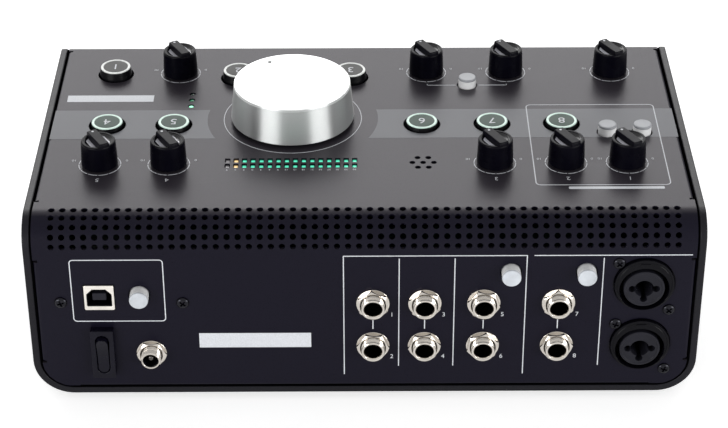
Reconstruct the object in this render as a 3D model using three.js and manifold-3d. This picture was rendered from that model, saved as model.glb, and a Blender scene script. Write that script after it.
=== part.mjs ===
// A desktop studio monitor controller.
// One folded sheet makes the front, the top, the perforated rear bend and the rear panel. It sits in
// a U-shaped cover. Knobs and lit push buttons stand on the top, the sockets are on the rear panel,
// and two circuit boards inside carry them.
// Millimetres, +Z up. The rear panel faces -Y, the user sits at +Y, and the feet stand on z = 0.

import * as THREE from 'three';
import { mergeVertices } from 'three/addons/utils/BufferGeometryUtils.js';
import Module from 'manifold-3d';

const wasm = await Module();
wasm.setup();

// Case
const caseWidth = 270;
const caseDepth = 147.5;
const caseHeight = 82.2;
const coverWall = 3.4;
const coverBend = 16;
const seam = 0.3;
const weld = 0.0001;
const overrun = 1;

// Folded sheet
const sheet = 1.5;
const frontFold = 2;
const flangeDepth = 11;
const flangeFold = 1.3;
const reliefWidth = 1.2;
const reliefDepth = 1.9;
const frontStrip = 3.5;
const footFlangeInset = 18.5;

// Perforated rear bend: each row of holes lies on its own flat facet, and the rows are centred on it
const ventRadius = 12;
const ventMargin = 4.8;
const ventRows = 5;
const ventRowPitch = 4.1;
const ventColumns = 58;
const ventPitch = 4.34;
const ventHole = 1.25;
const ventHoleSides = 6;

// Feet
const footHeight = 3.5;
const footRadius = 7;
const footDraft = 0.6;
const footInsetX = 24;
const footInsetY = 20;
const footScrewRadius = 2.6;
const footScrewDepth = 1.6;

// Boards
const boardThickness = 1.6;
const topBoardDrop = 12;
const topBoardSideGap = 10;
const topBoardRearGap = 33;
const topBoardFrontGap = 12;
const rearBoardSideGap = 10;
const rearBoardTopGap = 2;
const rearBoardFootGap = 5;

// Rotary controls
const shaftRadius = 3;
const shaftReach = 9;
const shaftHole = 3.7;
const potWidth = 11;
const potBore = 3.7;
const potBoreFloor = 1.2;
const knobGap = 0.7;
const knobHeight = 10.9;
const knobBaseRadius = 7.5;
const knobRimRadius = 6.95;
const knobRimRound = 0.4;
const knobRimWidth = 1.1;
const knobScoop = 2.6;
const knobScoopDraft = 0.7;
const knobBarWidth = 3.9;
const knobBarFlare = 0.7;
const knobBarProud = 1.5;
const volumeGap = 0.8;
const volumeTop = 17.7;
const volumeBaseRadius = 25.9;
const volumeTopRadius = 24.4;
const volumeChamfer = 0.35;
const volumeSkirtInset = 0.9;
const volumeSkirtHeight = 0.9;
const volumePotWidth = 14;
const stopAngle = 120;

// Round lit buttons
const buttonProud = 4;
const buttonLatched = 1.8;
const buttonTopRadius = 6.45;
const buttonBaseRadius = 7.1;
const buttonHoleGap = 0.6;
const buttonCollar = 3.4;
const buttonDepth = 7;
const buttonRingWidth = 1.1;
const buttonFaceDrop = 0.2;

// Small push buttons
const pushRadius = 3.8;
const pushProud = 4.1;
const rearPushProud = 4.5;
const levelPushGap = 6.66;
const pushChamfer = 0.8;
const pushDepth = 3.2;
const pushHoleGap = 0.5;

// Switch bodies behind the buttons
const switchWidth = 8;
const switchDrop = 6.4;
const stemRadius = 1.8;
const stemDrop = 7.6;
const stemBore = 2.4;
const switchBoreFloor = 0.6;

// Lamps, meter and microphone
const meterColumns = 16;
const meterRows = 2;
const meterPitch = 3.466;
const meterRowPitch = 4.25;
const windowWidth = 2.2;
const windowLength = 3.1;
const windowGap = 0.3;
const lampDrop = 0.6;
const lensDrop = 1;
const lampRadius = 1.3;
const lampPost = 0.6;
const lampPitch = 5.2;
const micHole = 1.15;
const micPitch = 4.4;
const micRingHoles = 6;
const micCapsule = 6;

// Jack sockets
const jackWidth = 15;
const jackDepth = 24;
const jackProud = 5;
const jackBushing = 4.75;
const jackBore = 3.3;
const jackMouth = 3.75;
const jackMouthDepth = 0.7;
const jackBoreDepth = 26;
const jackRowGap = 14.49;
const nutRadius = 6.95;
const nutHeight = 2.3;

// Combination sockets: two of them fill the height between the rear bend and the foot of the panel
const comboTopGap = 0.1;
const comboSeam = 4.95;
const comboFootGap = 11.95;
const comboSideMargin = 0.8;
const comboRim = 0.1;
const comboProud = 1.5;
const comboInsertDrop = 1.9;
const comboLip = 2.25;
const comboGrooveWidth = 1.5;
const comboGrooveDepth = 12;
const comboInsertInset = 0.3;
const comboCentre = 3.6;
const comboPinHole = 1.5;
const comboPinShare = 0.5783;
const comboBoreDepth = 22;
const comboTabWidth = 4.2;
const comboTabHeight = 0.7;

// USB socket
const usbWidth = 12.1;
const usbHeight = 11.7;
const usbProud = 0.6;
const usbOpeningWidth = 10;
const usbOpeningHeight = 8.8;
const usbCornerCut = 2.4;
const usbDepth = 14;
const usbTongueWidth = 5.6;
const usbTongueHeight = 3.3;
const usbTongueInset = 0.9;

// Supply socket
const supplyBarrel = 4;
const supplyProud = 6;
const supplyBore = 3.15;
const supplyBoreDepth = 9.5;
const supplyPin = 1;
const supplyPinInset = 1.5;
const supplyBody = 5.6;
const supplyDepth = 16;
const supplyNutRadius = 6.6;
const supplyNutHeight = 2;

// Power switch
const bezelWidth = 9.35;
const bezelHeight = 22.9;
const bezelProud = 3.5;
const bezelLip = 0.7;
const switchBodyDepth = 19;
const rockerWidth = 4.55;
const rockerLength = 17.3;
const rockerGap = 0.35;
const rockerEndGap = 0.6;
const rockerCavity = 7.5;
const rockerProud = 0.8;
const rockerSag = 0.9;
const rockerBody = 3.6;
const rockerPivotRadius = 0.8;
const rockerPivotReach = 0.8;
const rockerTilt = 7;

// Places as shares of the case: across its width from the middle, along its depth from the rear
const topPlaceShares = {
  volume_knob: [-0.1111, 0.5627],
  talkback_knob: [-0.2963, 0.8319],
  phones_1_knob: [0.1017, 0.8319],
  phones_2_knob: [0.2301, 0.8319],
  blend_knob: [0.399, 0.8319],
  trim_b_knob: [-0.3997, 0.3085],
  trim_a_knob: [-0.2955, 0.3085],
  line_gain_knob: [0.1979, 0.3085],
  gain_2_knob: [0.3057, 0.3085],
  gain_1_knob: [0.3982, 0.3085],
  cue_button: [-0.401, 0.8278],
  dim_button: [-0.2017, 0.8037],
  mono_button: [-0.0208, 0.8037],
  monitor_b_button: [-0.3998, 0.5261],
  monitor_a_button: [-0.2961, 0.5261],
  usb_source_button: [0.0904, 0.5261],
  line_source_button: [0.1998, 0.5261],
  mic_source_button: [0.308, 0.5261],
  phones_link_push: [0.1663, 0.755],
  phantom_push: [0.3766, 0.476],
  mono_input_push: [0.4306, 0.476],
};
const meterPlaceShares = [-0.1106, 0.3135];
const lampPlaceShares = [-0.2727, 0.6706];
const micPlaceShares = [0.0894, 0.3133];

// Places on the rear panel: across the case width, and down from the top as a share of its height
const outputColumnShares = { monitor_b: 0.0122, monitor_a: 0.0892, two_track: 0.1765, stereo: 0.2873 };
const outputPitchShare = 0.2508;
const comboColumnShare = 0.4124;
const usbPlaceShares = [-0.3927, 0.4198];
const supplyPlaceShares = [-0.3204, 0.7521];
const powerPlaceShares = [-0.3922, 0.7352];
const recordPushPlaceShares = [-0.3332, 0.408];
const levelPushShares = { level_a_push: 0.2154, level_b_push: 0.3266 };
const frontJackShares = { front_phones_1: [0.1017, 0.55], front_phones_2: [0.2301, 0.55] };
const nutTurnShares = [0.1, 0.46, 0.2, 0.62, 0.35, 0.8, 0.05, 0.55, 0.3, 0.7, 0.5];

// Derived sizes
const rearReach = Math.max(supplyProud, jackProud, rearPushProud, bezelProud + rockerProud);
const frontReach = jackProud;
const halfWidth = caseWidth / 2;
const topZ = footHeight + caseHeight;
const sheetHalf = halfWidth - coverWall - seam;
const sheetFloor = footHeight + coverWall + seam;
const sheetCorner = coverBend - coverWall - seam;
const inside = sheet + seam;
const rearBoardFace = inside + jackDepth;
const wallHeight = topZ - sheetFloor;
const ventReach = ventRadius + ventMargin;
const comboHeight = (caseHeight - ventReach - comboTopGap - comboSeam - comboFootGap) / 2;
const comboWidth = comboHeight + comboSideMargin * 2;
const comboShell = comboHeight / 2 - comboRim;
const comboGroove = comboShell - comboLip;
const comboInsert = comboGroove - comboGrooveWidth;
const quarter = Math.PI / 2;
const hexSides = 6;
const hexTurn = 360 / hexSides;

// Turns a closed geometry into a solid for joining and cutting.
function solid(geometry) {
  const bare = geometry.clone();
  bare.deleteAttribute('normal');
  bare.deleteAttribute('uv');
  const merged = mergeVertices(bare, weld);
  return new wasm.Manifold(new wasm.Mesh({
    numProp: 3,
    vertProperties: new Float32Array(merged.attributes.position.array),
    triVerts: new Uint32Array(merged.index.array),
  }));
}

// Turns a solid back into a geometry.
function surface(body) {
  const mesh = body.getMesh();
  const geometry = new THREE.BufferGeometry();
  geometry.setAttribute('position', new THREE.BufferAttribute(new Float32Array(mesh.vertProperties), 3));
  geometry.setIndex(new THREE.BufferAttribute(new Uint32Array(mesh.triVerts), 1));
  return geometry;
}

function join(...parts) {
  return surface(parts.map(solid).reduce((whole, part) => whole.add(part)));
}

function cut(body, ...tools) {
  const gone = tools.map(solid).reduce((whole, tool) => whole.add(tool));
  return surface(solid(body).subtract(gone));
}

function common(a, b) {
  return surface(solid(a).intersect(solid(b)));
}

// Reverses a closed mesh whose faces point inwards.
function outward(geometry) {
  const points = geometry.attributes.position;
  const faces = geometry.index;
  const corners = [new THREE.Vector3(), new THREE.Vector3(), new THREE.Vector3()];
  let volume = 0;
  for (let i = 0; i < faces.count; i += 3) {
    corners.forEach((corner, k) => corner.fromBufferAttribute(points, faces.getX(i + k)));
    volume += corners[0].dot(corners[1].clone().cross(corners[2]));
  }
  if (volume < 0) {
    geometry.setIndex([...faces.array].reverse());
  }
  return geometry;
}

function block(x0, x1, y0, y1, z0, z1) {
  const geometry = new THREE.BoxGeometry(x1 - x0, y1 - y0, z1 - z0);
  return geometry.translate((x0 + x1) / 2, (y0 + y1) / 2, (z0 + z1) / 2);
}

// A round bar along Z, turned so that one of its flat sides faces -Y.
function rod(radius, z0, z1, sides) {
  const geometry = new THREE.CylinderGeometry(radius, radius, z1 - z0, sides);
  geometry.rotateX(quarter);
  geometry.rotateZ(Math.PI / sides);
  return geometry.translate(0, 0, (z0 + z1) / 2);
}

// A turned part about Z, from a profile of [radius, height] that starts and ends on the axis.
function revolve(profile, sides) {
  const points = profile.map(([radius, height]) => new THREE.Vector2(radius, height));
  const lathe = new THREE.LatheGeometry(points, sides);
  lathe.deleteAttribute('normal');
  lathe.deleteAttribute('uv');
  const geometry = mergeVertices(lathe, weld);
  const faces = [];
  for (let i = 0; i < geometry.index.count; i += 3) {
    const face = [0, 1, 2].map((k) => geometry.index.getX(i + k));
    if (new Set(face).size === face.length) {
      faces.push(...face);
    }
  }
  geometry.setIndex(faces);
  return outward(geometry.rotateX(quarter));
}

// An outline in X and Y, extruded along Z.
function prism(outline, z0, z1) {
  const shape = new THREE.Shape(outline.map(([x, y]) => new THREE.Vector2(x, y)));
  const geometry = new THREE.ExtrudeGeometry(shape, { depth: z1 - z0, bevelEnabled: false });
  return geometry.translate(0, 0, z0);
}

// An outline in Y and Z, extruded along X.
function prismAcross(outline, x0, x1) {
  return prism(outline, x0, x1).applyMatrix4(new THREE.Matrix4().makeBasis(
    new THREE.Vector3(0, 1, 0), new THREE.Vector3(0, 0, 1), new THREE.Vector3(1, 0, 0),
  ));
}

// An outline in X and Z, extruded along Y.
function prismAlong(outline, y0, y1) {
  return prism(outline, -y1, -y0).rotateX(quarter);
}

function moved(geometry, x, y, z) {
  return geometry.clone().translate(x, y, z);
}

// Points of an arc about a centre, from one angle to another in degrees, ends included.
function arc(cx, cy, radius, from, to, steps) {
  return Array.from({ length: steps + 1 }, (_, i) => {
    const angle = THREE.MathUtils.degToRad(from + ((to - from) * i) / steps);
    return [cx + radius * Math.cos(angle), cy + radius * Math.sin(angle)];
  });
}

// A rectangle with round ends, long in Y.
function stadium(width, length) {
  const radius = width / 2;
  const middle = length / 2 - radius;
  return [...arc(0, middle, radius, 0, 180, 6), ...arc(0, -middle, radius, 180, 360, 6)];
}

const topPlace = ([xShare, yShare]) => [xShare * caseWidth, yShare * caseDepth];
const rearPlace = ([xShare, dropShare]) => [xShare * caseWidth, -dropShare * caseHeight];

// Materials
const materials = {
  chassis: new THREE.MeshStandardMaterial({ color: 0x55555b, roughness: 0.45, metalness: 0.3 }),
  rear: new THREE.MeshStandardMaterial({ color: 0x24242b, roughness: 0.5, metalness: 0.2 }),
  cover: new THREE.MeshStandardMaterial({ color: 0x2a2a2e, roughness: 0.7, metalness: 0.1 }),
  rubber: new THREE.MeshStandardMaterial({ color: 0x111112, roughness: 0.9, metalness: 0 }),
  board: new THREE.MeshStandardMaterial({ color: 0x1d4a30, roughness: 0.6, metalness: 0 }),
  plastic: new THREE.MeshStandardMaterial({ color: 0x131318, roughness: 0.4, metalness: 0 }),
  aluminium: new THREE.MeshStandardMaterial({ color: 0xc9cacb, roughness: 0.25, metalness: 1 }),
  lens: new THREE.MeshStandardMaterial({ color: 0x55d8a6, roughness: 0.3, metalness: 0 }),
  cap: new THREE.MeshStandardMaterial({ color: 0xc8cdd2, roughness: 0.45, metalness: 0 }),
  nickel: new THREE.MeshStandardMaterial({ color: 0xcdc8bd, roughness: 0.2, metalness: 1 }),
};

// A separate material for each piece, so that one piece can be recoloured by itself.
function piece(name, geometry, finish) {
  const mesh = new THREE.Mesh(geometry, materials[finish].clone());
  mesh.name = name;
  return mesh;
}

function placed(mesh, x, y, z, turn = 0) {
  mesh.position.set(x, y, z);
  mesh.rotation.z = THREE.MathUtils.degToRad(turn);
  return mesh;
}

// A point of the rear bend in Y and Z, a length along the sheet from the bend's upper end and a
// depth under its face. Beyond the bend's ends it lies on the top or on the rear face.
function bendPoint(along, depth) {
  const turn = THREE.MathUtils.clamp(along / ventRadius, 0, quarter);
  const beyond = along - turn * ventRadius;
  const reach = ventRadius - depth;
  return [
    ventRadius - reach * Math.sin(turn) - beyond * Math.cos(turn),
    topZ - ventRadius + reach * Math.cos(turn) - beyond * Math.sin(turn),
  ];
}

// The corners of the bend's facets, from the rear face up to the top.
function bendPoints(depth) {
  const first = (quarter * ventRadius - ventRows * ventRowPitch) / 2;
  return Array.from({ length: ventRows + 1 }, (_, i) => (
    bendPoint(first + (ventRows - i) * ventRowPitch, depth)
  ));
}

// Case outline in Y and Z, from the rear plane and the table.
function sideOutline() {
  return [
    [0, footHeight],
    ...bendPoints(0),
    ...arc(caseDepth - frontFold, topZ - frontFold, frontFold, 90, 0, 2),
    [caseDepth, footHeight],
  ];
}

// The cover: a sheet bent up at both sides, cut to the outline of the case.
function coverGeometry() {
  const inner = coverBend - coverWall;
  const left = -halfWidth + coverBend;
  const right = halfWidth - coverBend;
  const bendZ = footHeight + coverBend;
  const section = [
    [-halfWidth, topZ + overrun],
    ...arc(left, bendZ, coverBend, 180, 270, 6),
    ...arc(right, bendZ, coverBend, 270, 360, 6),
    [halfWidth, topZ + overrun],
    [halfWidth - coverWall, topZ + overrun],
    ...arc(right, bendZ, inner, 360, 270, 6),
    ...arc(left, bendZ, inner, 270, 180, 6),
    [-halfWidth + coverWall, topZ + overrun],
  ];
  const sleeve = prismAlong(section, -overrun, caseDepth + overrun);
  return common(sleeve, prismAcross(sideOutline(), -halfWidth - overrun, halfWidth + overrun));
}

// The round that a folded flange leaves on the edge x = edge, z = 0, to be cut away along Y.
function foldCutter(edge, y0, y1) {
  const centre = edge - flangeFold;
  return prismAlong([
    [centre, overrun],
    ...arc(centre, -flangeFold, flangeFold, 90, 0, 2),
    [edge + overrun, -flangeFold],
    [edge + overrun, overrun],
  ], y0, y1);
}

// One side flange of a plate whose outer face is z = 0: its edges, its folded flange and the reliefs.
function sideFlange(y0, y1) {
  const outer = sheetHalf;
  const flange = block(outer - sheet, outer, y0, y1, -flangeDepth, -flangeFold);
  const relief = [y0 - reliefWidth, y1].map((y) => block(
    outer - reliefDepth, outer + overrun, y, y + reliefWidth, -sheet - overrun, overrun,
  ));
  return { flange, tools: [foldCutter(outer, y0, y1), ...relief] };
}

// Mirrors a geometry from left to right.
function mirrored(geometry) {
  const copy = geometry.clone();
  const points = copy.attributes.position;
  for (let i = 0; i < points.count; i += 1) {
    points.setX(i, -points.getX(i));
  }
  const bare = mergeVertices(copy, weld);
  return outward(bare);
}

function bothSides(geometry) {
  const bare = geometry.clone();
  bare.deleteAttribute('normal');
  bare.deleteAttribute('uv');
  return [bare, mirrored(bare)];
}

// A front or rear wall: its outer face is z = 0 and y runs up from its foot. Its lower corners
// follow the cover's bend, its sides are folded in, and so is its foot between the bends.
function wall(height, flangeTop) {
  const left = -sheetHalf + sheetCorner;
  const right = sheetHalf - sheetCorner;
  const outline = [
    ...arc(left, sheetCorner, sheetCorner, 180, 270, 5),
    ...arc(right, sheetCorner, sheetCorner, 270, 360, 5),
    [sheetHalf, height],
    [-sheetHalf, height],
  ];
  const { flange, tools } = sideFlange(sheetCorner + reliefWidth / 2, flangeTop);
  const footHalf = halfWidth - footFlangeInset;
  const foot = block(-footHalf, footHalf, 0, sheet, -flangeDepth, -flangeFold);
  const footRound = prismAcross([
    [-overrun, -flangeFold],
    ...arc(flangeFold, -flangeFold, flangeFold, 180, 90, 2),
    [flangeFold, overrun],
    [-overrun, overrun],
  ], -footHalf, footHalf);
  const plate = cut(prism(outline, -sheet, 0), footRound, ...tools.flatMap(bothSides));
  return join(plate, foot, ...bothSides(flange));
}

// The top with its controls' holes, and the front wall folded down from it.
function topPanelGeometry() {
  const skin = prismAcross([
    [ventReach, -sheet],
    [caseDepth - frontFold, -sheet],
    [caseDepth - sheet, -frontFold],
    [caseDepth - sheet, -frontFold - overrun],
    [caseDepth, -frontFold - overrun],
    ...arc(caseDepth - frontFold, -frontFold, frontFold, 0, 90, 2),
    [ventReach, 0],
  ], -sheetHalf, sheetHalf);
  const front = wall(wallHeight - frontFold, wallHeight - flangeDepth - reliefWidth * 2);
  const frontPlate = cut(front, ...Object.values(frontJackShares).map((shares) => {
    const [x, y] = rearPlace(shares);
    return moved(rod(jackBushing + seam, -sheet - overrun, overrun, 14), x, wallHeight + y, 0);
  }));
  frontPlate.rotateX(quarter);
  frontPlate.applyMatrix4(new THREE.Matrix4().makeScale(1, -1, 1));
  const frontWall = outward(frontPlate.translate(0, caseDepth, -wallHeight));
  const flangeRear = ventReach + reliefWidth;
  const flangeFront = caseDepth - frontStrip - reliefWidth;
  const { flange, tools } = sideFlange(flangeRear, flangeFront);
  const top = cut(skin, ...tools.flatMap(bothSides), ...topHoles());
  return join(top, frontWall, ...bothSides(flange));
}

function topHoles() {
  const through = [-sheet - overrun, overrun];
  const holes = Object.entries(topPlaceShares).map(([name, shares]) => {
    const [x, y] = topPlace(shares);
    if (name.endsWith('button')) {
      return moved(rod(buttonBaseRadius + buttonHoleGap, ...through, 16), x, y, 0);
    }
    if (name.endsWith('push')) {
      return moved(rod(pushRadius + pushHoleGap, ...through, 12), x, y, 0);
    }
    return moved(rod(shaftHole, ...through, 10), x, y, 0);
  });
  meterPlaces().forEach(([x, y]) => {
    holes.push(block(
      x - windowWidth / 2, x + windowWidth / 2, y - windowLength / 2, y + windowLength / 2, ...through,
    ));
  });
  lampPlaces().forEach(([x, y]) => {
    holes.push(moved(rod(lampRadius, ...through, 8), x, y, 0));
  });
  micPlaces().forEach(([x, y]) => {
    holes.push(moved(rod(micHole, ...through, 6), x, y, 0));
  });
  return holes;
}

function meterPlaces() {
  const [cx, cy] = topPlace(meterPlaceShares);
  const places = [];
  for (let column = 0; column < meterColumns; column += 1) {
    for (let row = 0; row < meterRows; row += 1) {
      places.push([
        cx + (column - (meterColumns - 1) / 2) * meterPitch,
        cy + (row - (meterRows - 1) / 2) * meterRowPitch,
      ]);
    }
  }
  return places;
}

function lampPlaces() {
  const [cx, cy] = topPlace(lampPlaceShares);
  return [-1, 0, 1].map((step) => [cx, cy + step * lampPitch]);
}

// One hole in the middle and six round it, over the talkback microphone.
function micPlaces() {
  const [cx, cy] = topPlace(micPlaceShares);
  const step = 360 / micRingHoles;
  return [[cx, cy], ...arc(cx, cy, micPitch, step, 360, micRingHoles - 1)];
}

// The perforated bend. Each hole is drilled square to the facet of its row.
function ventGeometry() {
  const corners = bendPoints(0).map(([y, z]) => [y, z - topZ]);
  const band = prismAcross([
    [0, -ventReach],
    ...corners,
    [ventReach, 0],
    [ventReach, -sheet],
    ...bendPoints(sheet).reverse().map(([y, z]) => [y, z - topZ]),
    [sheet, -ventReach],
  ], -sheetHalf, sheetHalf);
  const drill = rod(ventHole, -sheet - overrun, overrun, ventHoleSides);
  const drills = [];
  corners.slice(1).forEach(([y, z], row) => {
    const [rearY, rearZ] = corners[row];
    const tilted = drill.clone().rotateX(Math.atan2(z - rearZ, y - rearY));
    for (let column = 0; column < ventColumns; column += 1) {
      const x = (column - (ventColumns - 1) / 2) * ventPitch;
      drills.push(moved(tilted, x, (y + rearY) / 2, (z + rearZ) / 2));
    }
  });
  return cut(band, ...drills);
}

// The rear panel with its sockets' holes, in the frame of the rear group.
function rearPanelGeometry() {
  const height = wallHeight - ventReach;
  const plate = moved(wall(height, height - reliefWidth), 0, -wallHeight, 0);
  const through = [-sheet - overrun, overrun];
  const tools = outputPlaces().map(([, x, y]) => moved(rod(jackBushing + seam, ...through, 14), x, y, 0));
  comboPlaces().forEach(([x, y]) => tools.push(moved(rod(comboShell + seam, ...through, 24), x, y, 0)));
  rearPushPlaces().forEach(([, x, y]) => {
    tools.push(moved(rod(pushRadius + pushHoleGap, ...through, 12), x, y, 0));
  });
  tools.push(moved(rod(supplyBarrel + seam, ...through, 12), ...rearPlace(supplyPlaceShares), 0));
  tools.push(rectangleCutter(usbWidth, usbHeight, usbPlaceShares));
  tools.push(rectangleCutter(bezelWidth - bezelLip * 2, bezelHeight - bezelLip * 2, powerPlaceShares));
  return cut(plate, ...tools);
}

function rectangleCutter(width, height, shares) {
  const [x, y] = rearPlace(shares);
  const halfX = width / 2 + seam;
  const halfY = height / 2 + seam;
  return block(x - halfX, x + halfX, y - halfY, y + halfY, -sheet - overrun, overrun);
}

// The record-source push stands beside the USB socket, and the level pushes under the rear bend.
function rearPushPlaces() {
  const level = -ventReach - levelPushGap;
  return [
    ['record_source_push', ...rearPlace(recordPushPlaceShares)],
    ...Object.entries(levelPushShares).map(([name, share]) => [name, share * caseWidth, level]),
  ];
}

// The jacks' upper row stands under the level pushes.
function outputPlaces() {
  const upper = -ventReach - levelPushGap - jackRowGap;
  const lower = upper - outputPitchShare * caseHeight;
  return Object.entries(outputColumnShares).flatMap(([name, share]) => [
    [`${name}_left`, share * caseWidth, upper],
    [`${name}_right`, share * caseWidth, lower],
  ]);
}

function comboPlaces() {
  const x = comboColumnShare * caseWidth;
  const upper = -ventReach - comboTopGap - comboHeight / 2;
  return [[x, upper], [x, upper - comboHeight - comboSeam]];
}

// A knob and the control's shaft, which turn together. The panel's face is z = 0 and the pointer
// bar lies along X. The top is scooped out on both sides of the bar.
function knobGeometry() {
  const base = knobGap;
  const rim = knobGap + knobHeight;
  const inner = knobRimRadius - knobRimRound - knobRimWidth;
  const body = revolve([
    [0, base],
    [knobBaseRadius, base],
    [knobRimRadius, rim - knobRimRound],
    [knobRimRadius - knobRimRound, rim],
    [inner, rim],
    [inner - knobScoopDraft, rim - knobScoop],
    [0, rim - knobScoop],
  ], 18);
  const barTop = rim + knobBarProud;
  const foot = rim - knobScoop - overrun;
  const halfTop = knobBarWidth / 2;
  const halfFoot = halfTop + knobBarFlare;
  const bar = prismAcross([
    [-halfFoot, foot],
    [halfFoot, foot],
    [halfTop, barTop],
    [-halfTop, barTop],
  ], -knobBaseRadius, knobBaseRadius);
  const envelope = revolve([
    [0, base],
    [knobRimRadius, base],
    [knobRimRadius, rim - knobRimRound],
    [knobRimRadius - knobRimRound, barTop],
    [0, barTop],
  ], 18);
  return join(body, common(bar, envelope), rod(shaftRadius, -shaftReach, base + overrun, 10));
}

// The volume knob: turned metal with a stepped-in skirt that floats over the panel.
function volumeKnobGeometry() {
  const skirt = volumeBaseRadius - volumeSkirtInset;
  const body = revolve([
    [0, volumeGap],
    [skirt, volumeGap],
    [skirt, volumeGap + volumeSkirtHeight],
    [volumeBaseRadius, volumeGap + volumeSkirtHeight],
    [volumeTopRadius, volumeTop - volumeChamfer],
    [volumeTopRadius - volumeChamfer, volumeTop],
    [0, volumeTop],
  ], 48);
  return join(body, rod(shaftRadius, -shaftReach, volumeGap + overrun, 10));
}

// A round lit button with its plunger. Its face is at z = buttonProud when it is out.
function buttonGeometry() {
  const foot = buttonProud - buttonDepth;
  const ring = buttonTopRadius - buttonRingWidth;
  return revolve([
    [0, -stemDrop],
    [stemRadius, -stemDrop],
    [stemRadius, foot],
    [buttonBaseRadius, foot],
    [buttonBaseRadius, buttonProud - buttonCollar],
    [buttonTopRadius, buttonProud],
    [ring, buttonProud],
    [ring, buttonProud - buttonFaceDrop],
    [0, buttonProud - buttonFaceDrop],
  ], 16);
}

// A small push button with its plunger, standing proud of a panel whose face is z = 0.
function pushGeometry(proud) {
  return revolve([
    [0, -stemDrop],
    [stemRadius, -stemDrop],
    [stemRadius, -pushDepth],
    [pushRadius, -pushDepth],
    [pushRadius, proud - pushChamfer],
    [pushRadius - pushChamfer, proud],
    [0, proud],
  ], 12);
}

// A box on a board with a bore in its top: a control's body, or a switch's.
function boredBody(width, top, board, bore, floor, x, y) {
  const half = width / 2;
  return {
    body: block(x - half, x + half, y - half, y + half, -board - boardThickness / 2, -top),
    bore: moved(rod(bore, -board + floor, -top + overrun, 8), x, y, 0),
  };
}

// The board under the top, with the controls' bodies, the switches, the lamps and the microphone.
function topBoardGeometry() {
  const half = sheetHalf - topBoardSideGap;
  const plate = block(
    -half, half, topBoardRearGap, caseDepth - topBoardFrontGap,
    -topBoardDrop - boardThickness, -topBoardDrop,
  );
  const bodies = Object.entries(topPlaceShares).map(([name, shares]) => {
    const [x, y] = topPlace(shares);
    if (name.endsWith('knob')) {
      const width = name === 'volume_knob' ? volumePotWidth : potWidth;
      return boredBody(width, inside, topBoardDrop, potBore, potBoreFloor, x, y);
    }
    return boredBody(switchWidth, switchDrop, topBoardDrop, stemBore, switchBoreFloor, x, y);
  });
  const lamps = lampPlaces().map(([x, y]) => block(
    x - lampPost, x + lampPost, y - lampPost, y + lampPost, -topBoardDrop - boardThickness / 2, -lampDrop,
  ));
  const capsule = moved(
    rod(micCapsule, -topBoardDrop - boardThickness / 2, -inside, 12), ...topPlace(micPlaceShares), 0,
  );
  const whole = join(plate, ...bodies.map(({ body }) => body), ...lamps, capsule);
  return cut(whole, ...bodies.map(({ bore }) => bore));
}

// The board behind the sockets, with the bodies of the rear push switches.
function rearBoardGeometry() {
  const half = sheetHalf - rearBoardSideGap;
  const top = -ventReach - rearBoardTopGap;
  const foot = -wallHeight + rearBoardFootGap;
  const plate = block(-half, half, foot, top, -rearBoardFace - boardThickness, -rearBoardFace);
  const bodies = rearPushPlaces().map(([, x, y]) => boredBody(
    switchWidth, switchDrop, rearBoardFace, stemBore, jackDepth / 2, x, y,
  ));
  return cut(join(plate, ...bodies.map(({ body }) => body)), ...bodies.map(({ bore }) => bore));
}

// The meter's light block, with one lens standing in each window.
function meterGeometry() {
  const [cx, cy] = topPlace(meterPlaceShares);
  const halfX = (meterColumns * meterPitch) / 2;
  const halfY = (meterRows * meterRowPitch) / 2;
  const base = block(cx - halfX, cx + halfX, cy - halfY, cy + halfY, -topBoardDrop, -inside);
  const halfLens = [windowWidth / 2 - windowGap, windowLength / 2 - windowGap];
  const lenses = meterPlaces().map(([x, y]) => block(
    x - halfLens[0], x + halfLens[0], y - halfLens[1], y + halfLens[1], -inside - overrun, -lensDrop,
  ));
  return join(base, ...lenses);
}

// A jack socket: its body behind the panel, and the threaded bushing through the panel's hole.
function jackGeometry() {
  const half = jackWidth / 2;
  const body = block(-half, half, -half, half, -inside - jackDepth, -inside);
  const bushing = rod(jackBushing, -inside - overrun, jackProud, 14);
  const bore = revolve([
    [0, jackProud - jackBoreDepth],
    [jackBore, jackProud - jackBoreDepth],
    [jackBore, jackProud - jackMouthDepth],
    [jackMouth, jackProud],
    [jackMouth, jackProud + overrun],
    [0, jackProud + overrun],
  ], 14);
  return cut(join(body, bushing), bore);
}

// A hexagonal nut on the panel's outer face, with a plain bore that clears the thread.
function nutGeometry(radius, height, bore) {
  return cut(rod(radius, 0, height, hexSides), rod(bore, -overrun, height + overrun, 12));
}

// A combination socket: a round shell through the panel, and an insert with a jack bore and three
// pin holes, set low in the shell to leave room for the latch.
function comboGeometry() {
  const body = block(
    -comboWidth / 2, comboWidth / 2, -comboHeight / 2, comboHeight / 2, -inside - jackDepth, -inside,
  );
  const shell = rod(comboShell, -inside - overrun, comboProud, 24);
  const floor = comboProud - comboGrooveDepth;
  const face = comboProud - comboInsertInset;
  const groove = revolve([
    [0, face],
    [comboInsert, face],
    [comboInsert, floor],
    [comboGroove, floor],
    [comboGroove, comboProud + overrun],
    [0, comboProud + overrun],
  ], 20);
  const deep = comboProud - comboBoreDepth;
  const centre = rod(comboCentre, deep, comboProud + overrun, 12);
  const pins = arc(0, 0, comboInsert * comboPinShare, 180, 360, 2).map(([x, y]) => moved(
    rod(comboPinHole, deep, comboProud + overrun, 8), x, y, 0,
  ));
  const insert = join(groove, centre, ...pins).translate(0, -comboInsertDrop, 0);
  const tabY = comboShell - (comboShell - comboGroove + comboInsertDrop) / 2;
  const tab = block(
    -comboTabWidth / 2, comboTabWidth / 2, tabY - comboTabHeight, tabY, floor, comboProud + comboTabHeight / 2,
  );
  return join(cut(join(body, shell), insert), tab);
}

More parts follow.
